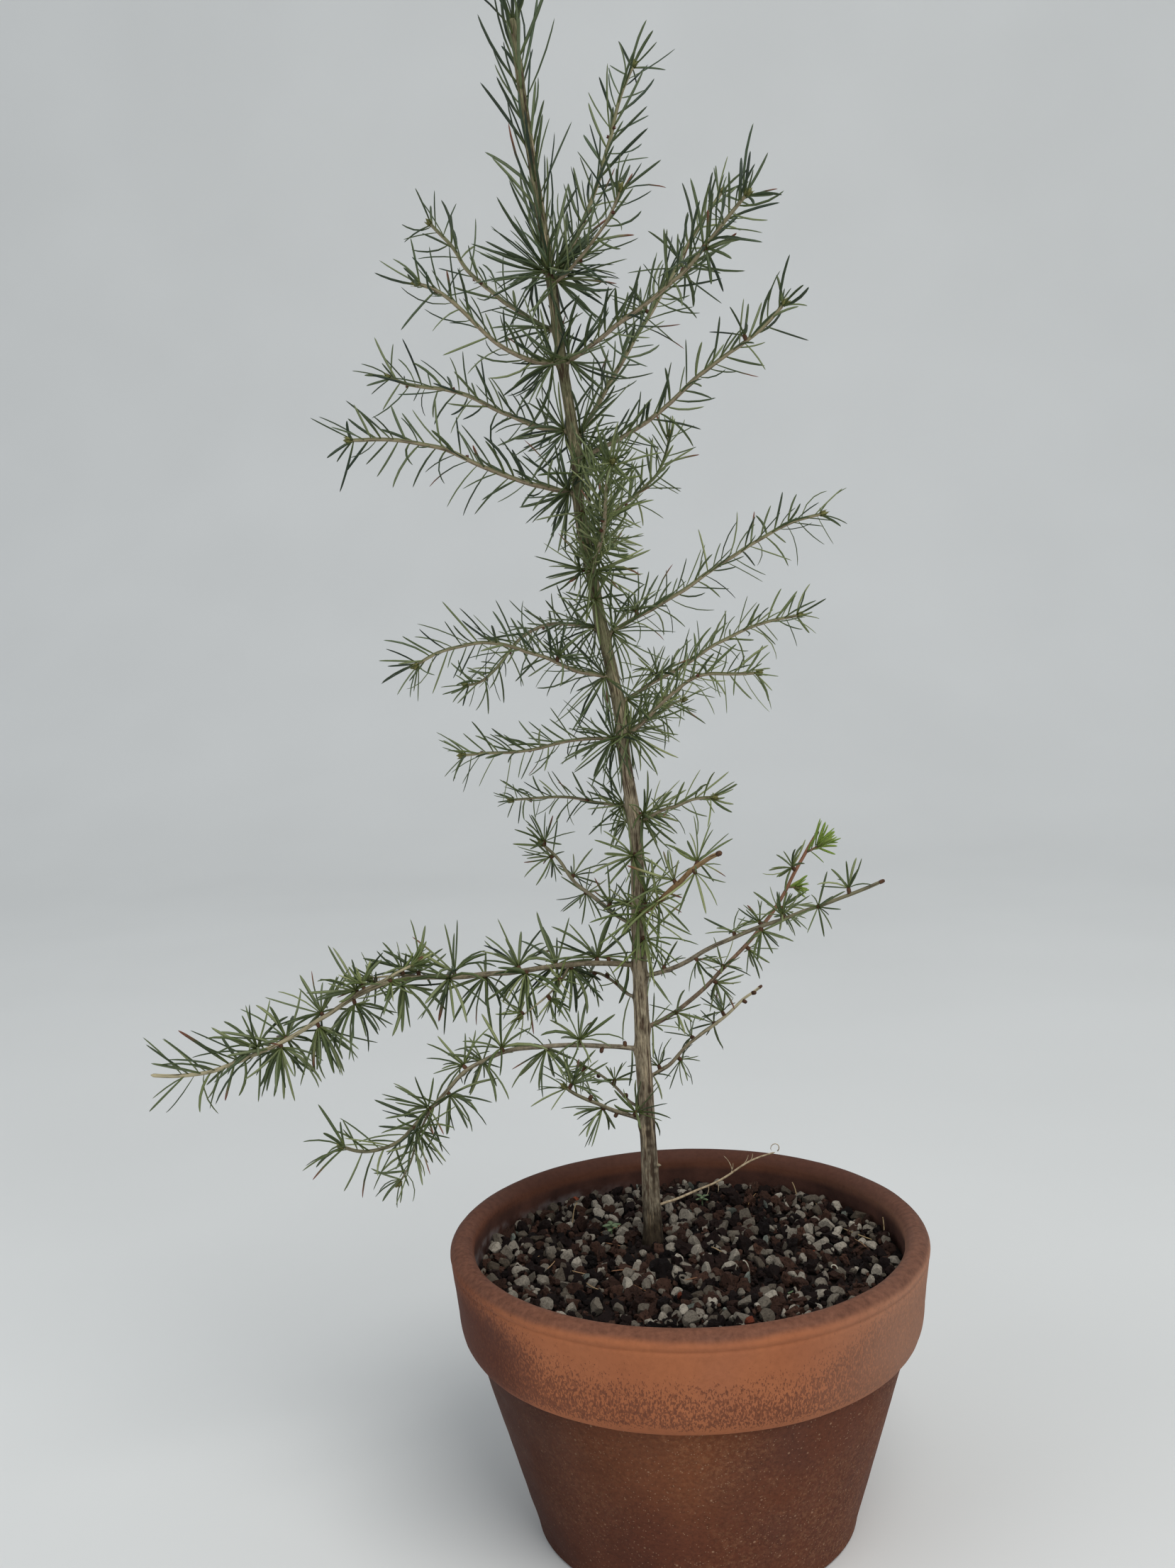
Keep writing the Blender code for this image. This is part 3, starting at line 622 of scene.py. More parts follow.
def terracotta(name):
    """Weathered clay: an orange band with dark flecks below, a browner body with pale dust, and
    painted light and shade.
    """
    paint = Paint(name, 0.85, 0.2)
    x, y, z = paint.node("ShaderNodeSeparateXYZ", {0: paint.spot}).outputs
    broad = paint.noise(14, 3)
    wander = paint.noise(26, 5)
    fine = paint.noise(420, 4, 0.65)

    def raised(amount):
        """The height, pushed up and down by the wandering noise."""
        return paint.plus(z, paint.math("SUBTRACT", wander, 0.5), amount)

    band = paint.ramp(broad, (0.3, "96583a"), (0.55, "a46442"), (0.8, "985e44"))
    body = paint.ramp(broad, (0.3, "522b1e"), (0.52, "643724"), (0.75, "563226"))
    # Fine upright flecks: none high on the band, dense below, and thin again at its foot.
    # To the left and right they climb higher and run together.
    side = paint.between(paint.math("ABSOLUTE", x), 34 * MM, 88 * MM)
    level = paint.math("SUBTRACT", raised(15 * MM), paint.times(side, 15 * MM))
    clean_foot = paint.between(raised(4 * MM), BAND_FOOT + 0.5 * MM, BAND_FOOT + 6 * MM)
    clean_foot = paint.math("MAXIMUM", clean_foot, paint.times(side, 0.8))
    dense = paint.times(paint.under(level, BAND_FOOT + 11 * MM, BAND_FOOT + 33 * MM), clean_foot)
    dense = paint.plus(paint.times(dense, 0.72), side, 0.14)
    for scale, reach, tint in ((860, 0.26, "7c4932"), (1500, 0.31, "6a3f2e")):
        worms = paint.noise(scale, 2, 0.5, stretch=(1.0, 1.0, 0.5))
        excess = paint.math("SUBTRACT", paint.plus(worms, dense, reach), 0.7)
        fleck = paint.times(paint.between(excess, 0.0, 0.05), paint.between(dense, 0.0, 0.08))
        band = paint.cover(band, fleck, 0.8, tint)
    # Painted sheen: the band is greyer and lighter towards the right.
    band = paint.cover(band, paint.between(x, 30 * MM, 92 * MM), 0.55, "a47e68")
    # Darker towards the left: partly a stain, partly painted shade on the side away from the light.
    band = paint.cover(band, paint.under(x, -104 * MM, -52 * MM), 0.75, "522d1f")
    stain = paint.under(paint.plus(x, wander, 30 * MM), -66 * MM, -38 * MM)
    low = paint.under(raised(16 * MM), BAND_FOOT + 24 * MM, BAND_FOOT + 36 * MM)
    band = paint.cover(band, paint.times(stain, low), 0.7, "4c2a21")
    # The lip is a little duller on top, and painted shade darkens it at the back
    lip = paint.between(raised(3 * MM), POT_HEIGHT - 4.6 * MM, POT_HEIGHT - 1.6 * MM)
    band = paint.cover(band, lip, 0.85, paint.ramp(fine, (0.3, "523429"), (0.7, "704a3a")))
    near_top = paint.between(z, POT_HEIGHT - 9 * MM, POT_HEIGHT - 3 * MM)
    behind = paint.times(paint.between(y, -30 * MM, 70 * MM), near_top)
    band = paint.cover(band, behind, 0.85, "503228")
    # Pale dust on the body, thickest low in the middle, where an orange haze is partly painted
    # light
    dusty = paint.between(paint.noise(22, 4), 0.4, 0.66)
    haze = paint.times(paint.between(paint.noise(560, 6, 0.8), 0.47, 0.6), dusty)
    body = paint.cover(body, haze, 0.5, "8c6246")
    # A lighter orange middle on the front of the body: partly haze on the clay, partly painted
    # light.
    orange_haze_and_painted_light = paint.math("ABSOLUTE", paint.plus(x, broad, 30 * MM))
    high = paint.between(raised(30 * MM), BAND_FOOT - 52 * MM, BAND_FOOT - 18 * MM)
    orange_haze_and_painted_light = paint.times(paint.under(orange_haze_and_painted_light, 8 * MM, 58 * MM), high)
    body = paint.cover(body, orange_haze_and_painted_light, 0.3, "8c5430")
    gritty = paint.ramp(paint.noise(640, 5, 0.75), (0.32, 0.74), (0.5, 1.0), (0.68, 1.24))
    body = paint.shade(body, gritty)
    for scale, share in ((900, 0.4), (430, 0.2)):
        speck = paint.cells(scale)
        chosen = paint.math("LESS_THAN", speck["Color"], share)
        speck = paint.times(paint.under(speck["Distance"], 0.08, 0.3), chosen)
        body = paint.cover(body, speck, 0.7, "aa866a")
    # Darker towards the left: partly a stain, partly painted shade on the side away from the light.
    left_stain_and_painted_shade = paint.under(paint.plus(x, broad, 40 * MM), -50 * MM, 12 * MM)
    body = paint.cover(body, left_stain_and_painted_shade, 0.72, "30170f")
    is_band = paint.between(z, BAND_FOOT - 0.4 * MM, BAND_FOOT + 0.4 * MM)
    outside = paint.mix(is_band, body, band)
    # The inside is dark, partly damp clay and partly painted shade in the hollow of the pot, with a
    # pale smear of lime at the left just above the soil
    flat = paint.stretched((1.0, 1.0, 0.0))
    radial = paint.node("ShaderNodeVectorMath", {0: flat}, operation="LENGTH").outputs["Value"]
    inner = paint.ramp(paint.noise(60, 5), (0.3, "3a241e"), (0.7, "5a3a2f"))
    lime = paint.under(raised(9 * MM), SOIL_LEVEL + 1 * MM, SOIL_LEVEL + 5 * MM)
    lime = paint.times(lime, paint.between(paint.noise(120, 4), 0.38, 0.62))
    lime = paint.times(lime, paint.under(x, -58 * MM, -16 * MM))
    inner = paint.cover(inner, lime, 0.45, "888280")
    above = paint.between(z, BAND_FOOT + 8 * MM, BAND_FOOT + 12 * MM)
    inside = paint.times(paint.under(radial, 91.0 * MM, 93.0 * MM), above)
    below_lip = paint.under(raised(2 * MM), POT_HEIGHT - 9 * MM, POT_HEIGHT - 1.5 * MM)
    colour = paint.mix(paint.times(inside, below_lip), outside, inner)
    paint.colour(paint.shade(colour, paint.ramp(fine, (0.25, 0.88), (0.5, 1.0), (0.8, 1.08))))
    roughness = paint.ramp(paint.noise(35, 4), (0.3, 0.7), (0.7, 0.92))
    paint.set(paint.shader, "Roughness", roughness)
    paint.bump(paint.noise(900, 4, 0.7), 0.35, 0.25 * MM)
    paint.bump(paint.noise(130, 4), 0.3, 0.5 * MM)
    return paint.material


def bark(name):
    """Fissured bark: damp at the soil, paler above, greenish high up.

    Marks: relief, along (the height) and round."""
    paint = Paint(name, 0.88, 0.2)
    up = paint.mark("along")
    unrolled = paint.node("ShaderNodeCombineXYZ", {0: paint.mark("round"), 1: paint.mark("along")})
    streaks = paint.noise(5.2, 5.0, 0.6, (1.0, 15.0, 1.0), unrolled.outputs["Vector"])
    fine = paint.noise(900, 4, 0.65, stretch=(1.0, 1.0, 0.3))
    old, middle, green = [
        paint.ramp(fine, *zip((0.3, 0.55, 0.78), tints))
        for tints in (("5c5142", "7e7360", "a09580"), ("6c614e", "92856e", "b6a990"),
                      ("5a583e", "787557", "969070"))
    ]
    base = paint.mix(paint.between(up, 0.15, 0.2), old, middle)
    base = paint.mix(paint.between(up, 0.31, 0.38), base, green)
    base = paint.mix(paint.between(streaks, 0.56, 0.64), base, "ae9b7f")
    base = paint.mix(paint.between(streaks, 0.4, 0.48), "4e3e31", base)
    base = paint.mix(paint.between(paint.mark("relief"), -0.6, -0.05), "3c3025", base)
    dry = paint.between(paint.plus(up, fine, 12 * MM), 124 * MM, 140 * MM)
    paint.colour(paint.mix(dry, paint.shade(base, "80786f"), base))
    paint.bump(fine, 0.5, 0.3 * MM)
    return paint.material


def twig_bark(name, dark, light, young, above=None):
    """Smooth twig skin that changes towards the tip and on its upper side.

    Marks: share, relief and above."""
    paint = Paint(name, 0.72, 0.3)
    fine = paint.noise(700, 4, 0.6)
    base = paint.ramp(fine, (0.3, dark), (0.7, light))
    colour = paint.cover(base, paint.between(paint.mark("share"), 0.15, 0.95), 0.75, young)
    if above:
        upper = paint.between(paint.plus(paint.mark("above"), fine, 0.4), 0.55, 0.95)
        colour = paint.cover(colour, upper, 0.75, above)
    raised = paint.between(paint.mark("relief"), -0.8, 0.0)
    paint.colour(paint.mix(raised, rgba(dark, 0.5), colour))
    paint.bump(paint.noise(1300, 3), 0.4, 0.15 * MM)
    return paint.material


def needle_paint(name):
    """Soft needles. Marks: along, fresh (0 to 2), tone, blush at the tip, and wither."""
    paint = Paint(name, 0.5, 0.3)
    along = paint.mark("along")
    tone = paint.mark("tone")
    dark = paint.ramp(tone, (0.0, "1a261b"), (0.5, "2e3d2a"), (1.0, "546248"))
    bright = paint.ramp(tone, (0.0, "505e30"), (0.6, "78824c"), (1.0, "a0a470"))
    green = paint.mix(paint.mark("fresh"), dark, bright)
    spring = paint.math("SUBTRACT", paint.mark("fresh"), 1.0, clamp=True)
    green = paint.mix(spring, green, "86a03c")
    green = paint.cover(green, paint.under(along, 0.0, 0.4), 0.45, "727c40")
    vein = paint.noise(1500, 2, stretch=(1.0, 1.0, 0.4))
    green = paint.shade(green, paint.ramp(vein, (0.2, 0.84), (0.8, 1.12)))
    red = paint.times(paint.mark("blush"), paint.between(along, 0.5, 0.95))
    green = paint.mix(red, green, "744836")
    dead = paint.ramp(tone, (0.0, "8c563c"), (1.0, "ac8a66"))
    paint.colour(paint.mix(paint.mark("wither"), green, dead))
    return paint.material


def grain_paint(name, dark, middle, light, pore_shade_strength):
    """One kind of grit. Mark: tone, 0 to 1, one for each grain."""
    paint = Paint(name, 0.95, 0.15)
    fine = paint.noise(1100, 5, 0.7)
    base = paint.ramp(paint.mark("tone"), (0.0, dark), (0.5, middle), (1.0, light))
    colour = paint.shade(base, paint.ramp(fine, (0.3, 0.5), (0.5, 0.95), (0.72, 1.25)))
    # Painted shade: dark spots stand for the shade inside pores.
    pore_shade = paint.under(paint.cells(900)["Distance"], 0.12, 0.3)
    paint.colour(paint.cover(colour, pore_shade, pore_shade_strength, rgba(dark, 0.4)))
    paint.bump(fine, 0.7, 0.6 * MM)
    return paint.material


def simple_paint(name, low, high, scale=900, roughness=0.8, bump=0.3):
    paint = Paint(name, roughness, 0.3)
    fine = paint.noise(scale, 4, 0.6)
    paint.colour(paint.ramp(fine, (0.3, low), (0.7, high)))
    paint.bump(fine, bump, 0.2 * MM)
    return paint.material


PAINTS = {name: maker(name, *settings) for name, maker, *settings in (
    ("terracotta", terracotta),
    ("trunk_bark", bark),
    ("twig_bark", twig_bark, "625646", "968a74", "787456"),
    ("green_twig", twig_bark, "7a6a56", "ae9c82", "968c6e", "545e36"),
    ("pale_twig", twig_bark, "5c503c", "8c8068", "c4b894"),
    ("tan_twig", twig_bark, "704e30", "a07c54", "967c58"),
    ("ruddy_twig", twig_bark, "584a3a", "8c7862", "8e5c42"),
    ("dead_wood", simple_paint, "806a50", "beac8e", 700),
    ("spur_bark", simple_paint, "38261c", "684830"),
    ("bud_scales", simple_paint, "585630", "82804c", 1200),
    ("red_bud", simple_paint, "462a20", "704834", 1200),
    ("needle_green", needle_paint),
    ("pumice", grain_paint, "463d33", "6e665b", "a2998b", 0.5),
    ("lava", grain_paint, "0e0908", "201512", "463026", 0.8),
    ("zeolite", grain_paint, "4e514a", "666a62", "8a8e84", 0.3),
    ("red_grain", grain_paint, "602e20", "7c3e2a", "8c4c36", 0.3),
    # Dark fine grit, partly painted shade in the gaps between the grains
    ("fines", simple_paint, "0e0a08", "2e221c", 420, 0.95, 1.0),
    ("weed_green", simple_paint, "4a5c3e", "70805e", 900, 0.6),
    ("straw", simple_paint, "846c4e", "b29c78"),
    ("sprout", simple_paint, "a8a08c", "cec8b6", 900, 0.6),
)}


# Pot


def arc(centre, radii, start, end, steps):
    """Points of a round or oval arc in a profile; angles in degrees from outward."""
    angle = np.radians(np.linspace(start, end, steps + 1))
    return np.array(centre) + np.stack((np.cos(angle), np.sin(angle)), axis=-1) * radii


def straight(start, end, steps):
    share = np.linspace(0, 1, steps + 1)[1:-1, None]
    return np.array(start) + (np.array(end) - np.array(start)) * share


def pot_outline():
    """Closed outline of the wall, from the top of the lip down the outside and back inside."""
    lip_level = POT_HEIGHT - LIP_ROUND
    crease_top = (RIM_RADIUS - 0.25 * MM, lip_level - 1.2 * MM)
    crease = (RIM_RADIUS - 0.7 * MM, lip_level - 1.7 * MM)
    crease_foot = (RIM_RADIUS - 0.4 * MM, lip_level - 2.6 * MM)
    band_curve = (BAND_WAIST_RADIUS - BAND_FOOT_RADIUS, BAND_WAIST - BAND_FOOT)
    edge = (BASE_RADIUS - BASE_EDGE_ROUND, BASE_EDGE_ROUND)
    body_top = (BODY_TOP_RADIUS, BAND_FOOT - 1.2 * MM)
    body_foot = (BASE_RADIUS, BASE_EDGE_ROUND + 0.6 * MM)
    throat = (RIM_INNER_RADIUS + 1 * MM, BAND_FOOT + 14 * MM)
    return np.concatenate([
        arc((RIM_RADIUS - LIP_ROUND, lip_level), LIP_ROUND, 90, 0, 10),
        [crease_top, crease, crease_foot],
        straight(crease_foot, (BAND_WAIST_RADIUS, BAND_WAIST), 14),
        arc((BAND_FOOT_RADIUS, BAND_WAIST), band_curve, 0, -78, 12),
        [(BAND_FOOT_RADIUS + 0.5 * MM, BAND_FOOT + 0.05 * MM)],
        [(BODY_TOP_RADIUS + 0.3 * MM, BAND_FOOT - 0.2 * MM), body_top],
        straight(body_top, body_foot, 40),
        arc(edge, BASE_EDGE_ROUND, -8, -90, 6),
        [(DRAIN_RADIUS + 0.6 * MM, 0.0), (DRAIN_RADIUS, 0.6 * MM)],
        [(DRAIN_RADIUS, FLOOR_THICKNESS), (BASE_RADIUS - WALL - 2.5 * MM, FLOOR_THICKNESS)],
        [(BASE_RADIUS - WALL + 1 * MM, FLOOR_THICKNESS + 2.5 * MM)],
        [(BODY_TOP_RADIUS - WALL, BAND_FOOT - 4 * MM), throat],
        straight(throat, (RIM_INNER_RADIUS + 1 * MM, POT_HEIGHT - 2.4 * LIP_ROUND), 8),
        arc((RIM_INNER_RADIUS + LIP_ROUND, lip_level), LIP_ROUND, 180, 90, 8)[:-1],
    ])


def build_pot():
    """The pot, with its surface slightly worn away except where it stands."""
    outline = pot_outline()
    angles = ring_angles(POT_TURNS)
    points = cylinder(outline[:, 0], angles, outline[:, 1])
    wear = 0.28 * smooth_noise(points, 21 * MM, 5) + 0.12 * smooth_noise(points, 6 * MM, 6)
    worn = np.clip(wear + 0.2, 0.0, 1.0) * MM * np.clip(points[..., 2] / (4 * MM), 0, 1)
    points -= cylinder(1.0, angles, [0.0]) * worn[..., None]
    faces = ring_faces(len(outline) + 1, POT_TURNS, closed_ends=False)
    made = Collected()
    made.add(points, (faces % (len(outline) * POT_TURNS))[:, ::-1])
    made.piece("pot_terracotta", ["terracotta"], "terracotta", "pot", POT_AXIS)


# Grit


def grain_shape(splits):
    """A round lump: the points and faces of an icosahedron whose faces are split again."""
    ratio = (1 + math.sqrt(5)) / 2
    corners = []
    for first, second in itertools.product((-1, 1), (-ratio, ratio)):
        corners += [(0, first, second), (first, second, 0), (second, 0, first)]
    points = list(unit(np.array(corners, float)))
    gap = [[np.linalg.norm(one - other) for other in points] for one in points]
    edge = 1.1 * min(gap[0][1:])
    faces = []
    for a, b, c in itertools.combinations(range(12), 3):
        if max(gap[a][b], gap[b][c], gap[c][a]) > edge:
            continue
        inward = np.dot(np.cross(points[b] - points[a], points[c] - points[a]), points[a]) < 0
        faces.append((a, c, b) if inward else (a, b, c))
    for _ in range(splits):
        middle = {}
        split = []
        for a, b, c in faces:
            mids = []
            for pair in ((a, b), (b, c), (c, a)):
                key = tuple(sorted(pair))
                if key not in middle:
                    middle[key] = len(points)
                    points.append(unit(points[pair[0]] + points[pair[1]]))
                mids.append(middle[key])
            ab, bc, ca = mids
            split += [(a, ab, ca), (ab, b, bc), (ca, bc, c), (ab, bc, ca)]
        faces = split
    return np.array(points), np.array([(*face, -1) for face in faces])


# How often a grain looks for a free spot, how near two may come as a share of their sizes,
# and how far grains keep from the middle of the trunk
TRIES = 14
CROWDING = 0.42
TRUNK_CLEAR = 5.0 * MM


def scatter(sizes, random, patchy):
    """Spots on the soil, no closer than a share of their own sizes, and in patches if wanted."""
    placed = []
    cell_size = float(np.max(sizes))
    cells = {}
    for size in sizes:
        for _ in range(TRIES):
            distance = (SOIL_RADIUS - size * 0.5) * math.sqrt(random.random())
            angle = random.random() * 2 * math.pi
            spot = (distance * math.cos(angle), distance * math.sin(angle))
            from_trunk = math.hypot(spot[0] - ROOT.right * MM, spot[1] - ROOT.back * MM)
            if from_trunk < TRUNK_CLEAR + size * 0.4:
                continue
            if patchy:
                # Patches thin out towards the right
                patch = smooth_noise((*spot, 0.0), 17 * MM, 29)
                if patch < random.uniform(-0.75, 0.15) + 0.22 * spot[0] / SOIL_RADIUS:
                    continue
            key = (int(spot[0] // cell_size), int(spot[1] // cell_size))
            near = itertools.product((-1, 0, 1), repeat=2)
            others = [other for x, y in near for other in cells.get((key[0] + x, key[1] + y), ())]
            if all(math.hypot(spot[0] - right, spot[1] - back) >= CROWDING * (size + other_size)
                   for right, back, other_size in others):
                cells.setdefault(key, []).append((*spot, size))
                placed.append((*spot, size))
                break
    return np.array(placed)


def add_grains(made, spots, kind, random):
    """Lumps of grit lying at the spots, each cut and turned its own way."""
    shape, faces = grain_shape(kind.splits)
    for number, (right, back, size) in enumerate(spots):
        axes = np.linalg.qr(random.normal(size=(3, 3)))[0]
        stretch = np.array((1.0, random.uniform(0.66, 0.98), random.uniform(*kind.squash)))
        bumps = smooth_noise(shape + number * 7.3, kind.bump, 17)
        lump = shape * (1 + kind.rough * bumps)[:, None]
        for _ in range(kind.cuts):
            cut = unit(random.normal(size=3))
            over = lump @ cut - random.uniform(0.46, 0.82)
            lump -= np.clip(over, 0, None)[:, None] * cut
        lump = (lump * stretch * (size / 2)) @ axes
        made.add(lump + on_soil(right, back, kind.rise * size), faces, tone=random.random())


def build_grit():
    """The grains, and the bed of fine grit that they lie on, painted near-black, partly as painted
    shade in the gaps.
    """
    random = np.random.default_rng(41)
    for kind in GRIT:
        sizes = random.uniform(kind.small, kind.large, kind.count) * MM
        made = Collected()
        spots = scatter(sizes, random, kind.paint == "pumice")
        if kind.name == "grit_lava":
            spots = np.vstack((spots, BIG_LUMP))
        add_grains(made, spots, kind, random)
        made.piece(kind.name, [kind.paint], "grit", smooth=False)
    angles = ring_angles(96)
    reach = np.linspace(0.3 * MM, SOIL_RADIUS, 60)
    surface = cylinder(reach, angles, np.zeros(60))
    ripples = 0.9 * MM * smooth_noise(surface, 2.4 * MM, 8)
    surface[..., 2] = soil_height(surface[..., 0], surface[..., 1]) - 2.4 * MM + ripples
    floor_edge = BASE_RADIUS - WALL
    low = FLOOR_THICKNESS + 0.4 * MM
    # Below, the bed follows the wall and leaves room for the screen
    under = np.array((
        (RIM_INNER_RADIUS + 0.5 * MM, BAND_FOOT + 14 * MM),
        (BODY_TOP_RADIUS - WALL - 0.5 * MM, BAND_FOOT - 4 * MM),
        (floor_edge + 0.5 * MM, FLOOR_THICKNESS + 3 * MM),
        (floor_edge - 3 * MM, low), (25 * MM, low),
        (25 * MM, low + 1.8 * MM), (0.3 * MM, low + 1.8 * MM),
    ))
    # The bed is near-black: dark fine grit, and painted shade in the gaps between the grains.
    bed = Collected()
    bed.rings(np.concatenate((surface, cylinder(under[:, 0], angles, under[:, 1]))) + POT_AXIS)
    bed.piece("grit_bed", ["fines"], "grit", "substrate")


# Wood

SMOOTH = {"relief": 0.0, "share": 0.0, "above": 0.0}


def add_lump(made, foot, heading, length, radii, slot=0, marks=SMOOTH, sides=9):
    """A stubby body from its foot along a heading, with a radius for each of its rings."""
    share = np.linspace(0, 1, len(radii))
    line = foot + heading * (share * length)[:, None]
    made.rings(tube_points(line, radii, sides), slot, **marks)


def add_spur(made, foot, heading, length, radius, slot):
    """A spur: a stubby knob ringed by the scars of former needles."""
    share = np.linspace(0, 1, 10)
    scars = 1 + 0.13 * np.cos(share * math.pi * 9)
    radii = radius * scars * np.sqrt(np.clip(1 - (share * 0.98) ** 6, 0.03, 1))
    add_lump(made, foot, heading, length, radii, slot)


def add_bud(made, foot, heading, length, radius, slot):
    """A pointed bud with five loose scales round it."""
    swell = np.sin(np.pi * np.clip(np.linspace(0, 1, 9), 0.03, 1) ** 0.75)
    add_lump(made, foot, heading, length, radius * np.clip(swell, 0.06, 1), slot)
    side, over = crossways(heading, 0.01)
    share = np.linspace(0, 1, 5)[:, None]
    width = np.sin(np.pi * np.clip(share * 0.85 + 0.12, 0, 1))
    for angle in ring_angles(5):
        outward = turned(side, over, angle)
        spine = foot + heading * share * length * 0.95
        spine = spine + outward * radius * (0.8 + 0.35 * share)
        across = np.cross(heading, outward) * radius * 0.55 * width
        rows = (spine + across, spine + outward * 0.1 * MM,
                spine - across, spine - outward * 0.08 * MM)
        made.rings(np.stack(rows, axis=1), slot, **SMOOTH)


def add_twig(made, line, radii, seed, turns=12):
    """A twig with the low ridges that run down from each needle."""
    length = run_lengths(line)
    angle = ring_angles(turns)
    ridges = np.cos(5 * angle[None, :] + length[:, None] / (4.0 * MM))
    lumps = smooth_noise(cylinder(1.0, angle, length / (3 * MM)), 0.9, seed)
    relief = 0.5 * ridges + 0.6 * lumps
    rounded = np.clip((length[-1] - length) / (radii[-1] * 1.6), 0.02, 1) ** 0.5
    rings = tube_points(line, (radii * rounded)[:, None] * (1 + 0.085 * relief), turns)
    share = np.broadcast_to((length / length[-1])[:, None], relief.shape)
    above = unit(rings - line[:, None])[..., 2] * 0.5 + 0.5
    made.rings(rings, relief=relief, share=share, above=above)


def build_trunk():
    """The trunk, with fissured bark, roots that spread and a swelling under each branch."""
    heights = np.arange(TRUNK_HEIGHTS[0], TRUNK_HEIGHTS[-1], 0.9 * MM)
    line = smooth_through(TRUNK_CENTRES, TRUNK_HEIGHTS, heights)
    angle = ring_angles(TRUNK_TURNS)
    spot = cylinder(3.6 * MM, angle, line[:, 2])
    relief = 0.0
    for weight, size, seed in ((0.6, (1.5, 1.5, 16), 11), (0.3, (0.8, 0.8, 5), 12),
                               (0.22, (2.4, 2.4, 1.6), 13)):
        relief = relief + weight * smooth_noise(spot, np.array(size) * MM, seed)
    age = np.clip((520 * MM - heights) / (400 * MM), 0.12, 1.0)
    radius = np.interp(heights, TRUNK_HEIGHTS, TRUNK_RADII)
    radii = radius[:, None] + ((0.12 + 0.22 * age) * MM)[:, None] * relief
    roots = np.clip((TRUNK_HEIGHTS[3] - heights) / (14 * MM), 0, 1)[:, None]
    radii += roots * 1.0 * MM * np.cos(5 * angle + 0.6)[None, :]
    _, across, over = frames_along(line)
    for branch in BRANCHES:
        heading = bearing_vector(branch.bearing)
        near = np.exp(-(((heights - branch.height * MM) / (2.6 * MM)) ** 2))
        facing = turned((across @ heading)[:, None], (over @ heading)[:, None], angle)
        radii += near[:, None] * np.clip(facing, 0, None) ** 6 * 0.9 * branch.radius * MM
    made = Collected()
    made.rings(
        tube_points(line, radii, TRUNK_TURNS), relief=relief,
        along=np.broadcast_to(heights[:, None], relief.shape),
        round=np.broadcast_to(np.abs(angle / np.pi - 1.0) * 2.2, relief.shape))
    rounded = 1.0 * MM * np.sqrt(np.clip(1 - np.linspace(0, 1, 7) ** 4, 0.02, 1))
    marks = {name: 0.3 for name in made.marks}
    stub_heading = bearing_vector(STUB_BEARING)
    add_lump(made, trunk_at(STUB_HEIGHT)[0], stub_heading, 5.2 * MM, rounded, 0, marks, 8)
    made.piece("trunk_wood", ["trunk_bark"], "bark", "trunk")


# Needles

GOLDEN_ANGLE = math.radians(137.5)
# Along a needle: shares of its length, and its width there
NEEDLE_SHARES = np.array((0.0, 0.12, 0.35, 0.62, 0.84, 0.95))
NEEDLE_WIDTHS = (0.5, 0.82, 1.0, 1.0, 0.84, 0.52)
# How thick a needle is for its width, and how near it may come to the CAD's box
NEEDLE_THICKNESS = 0.6
BOX_MARGIN = 0.6 * MM


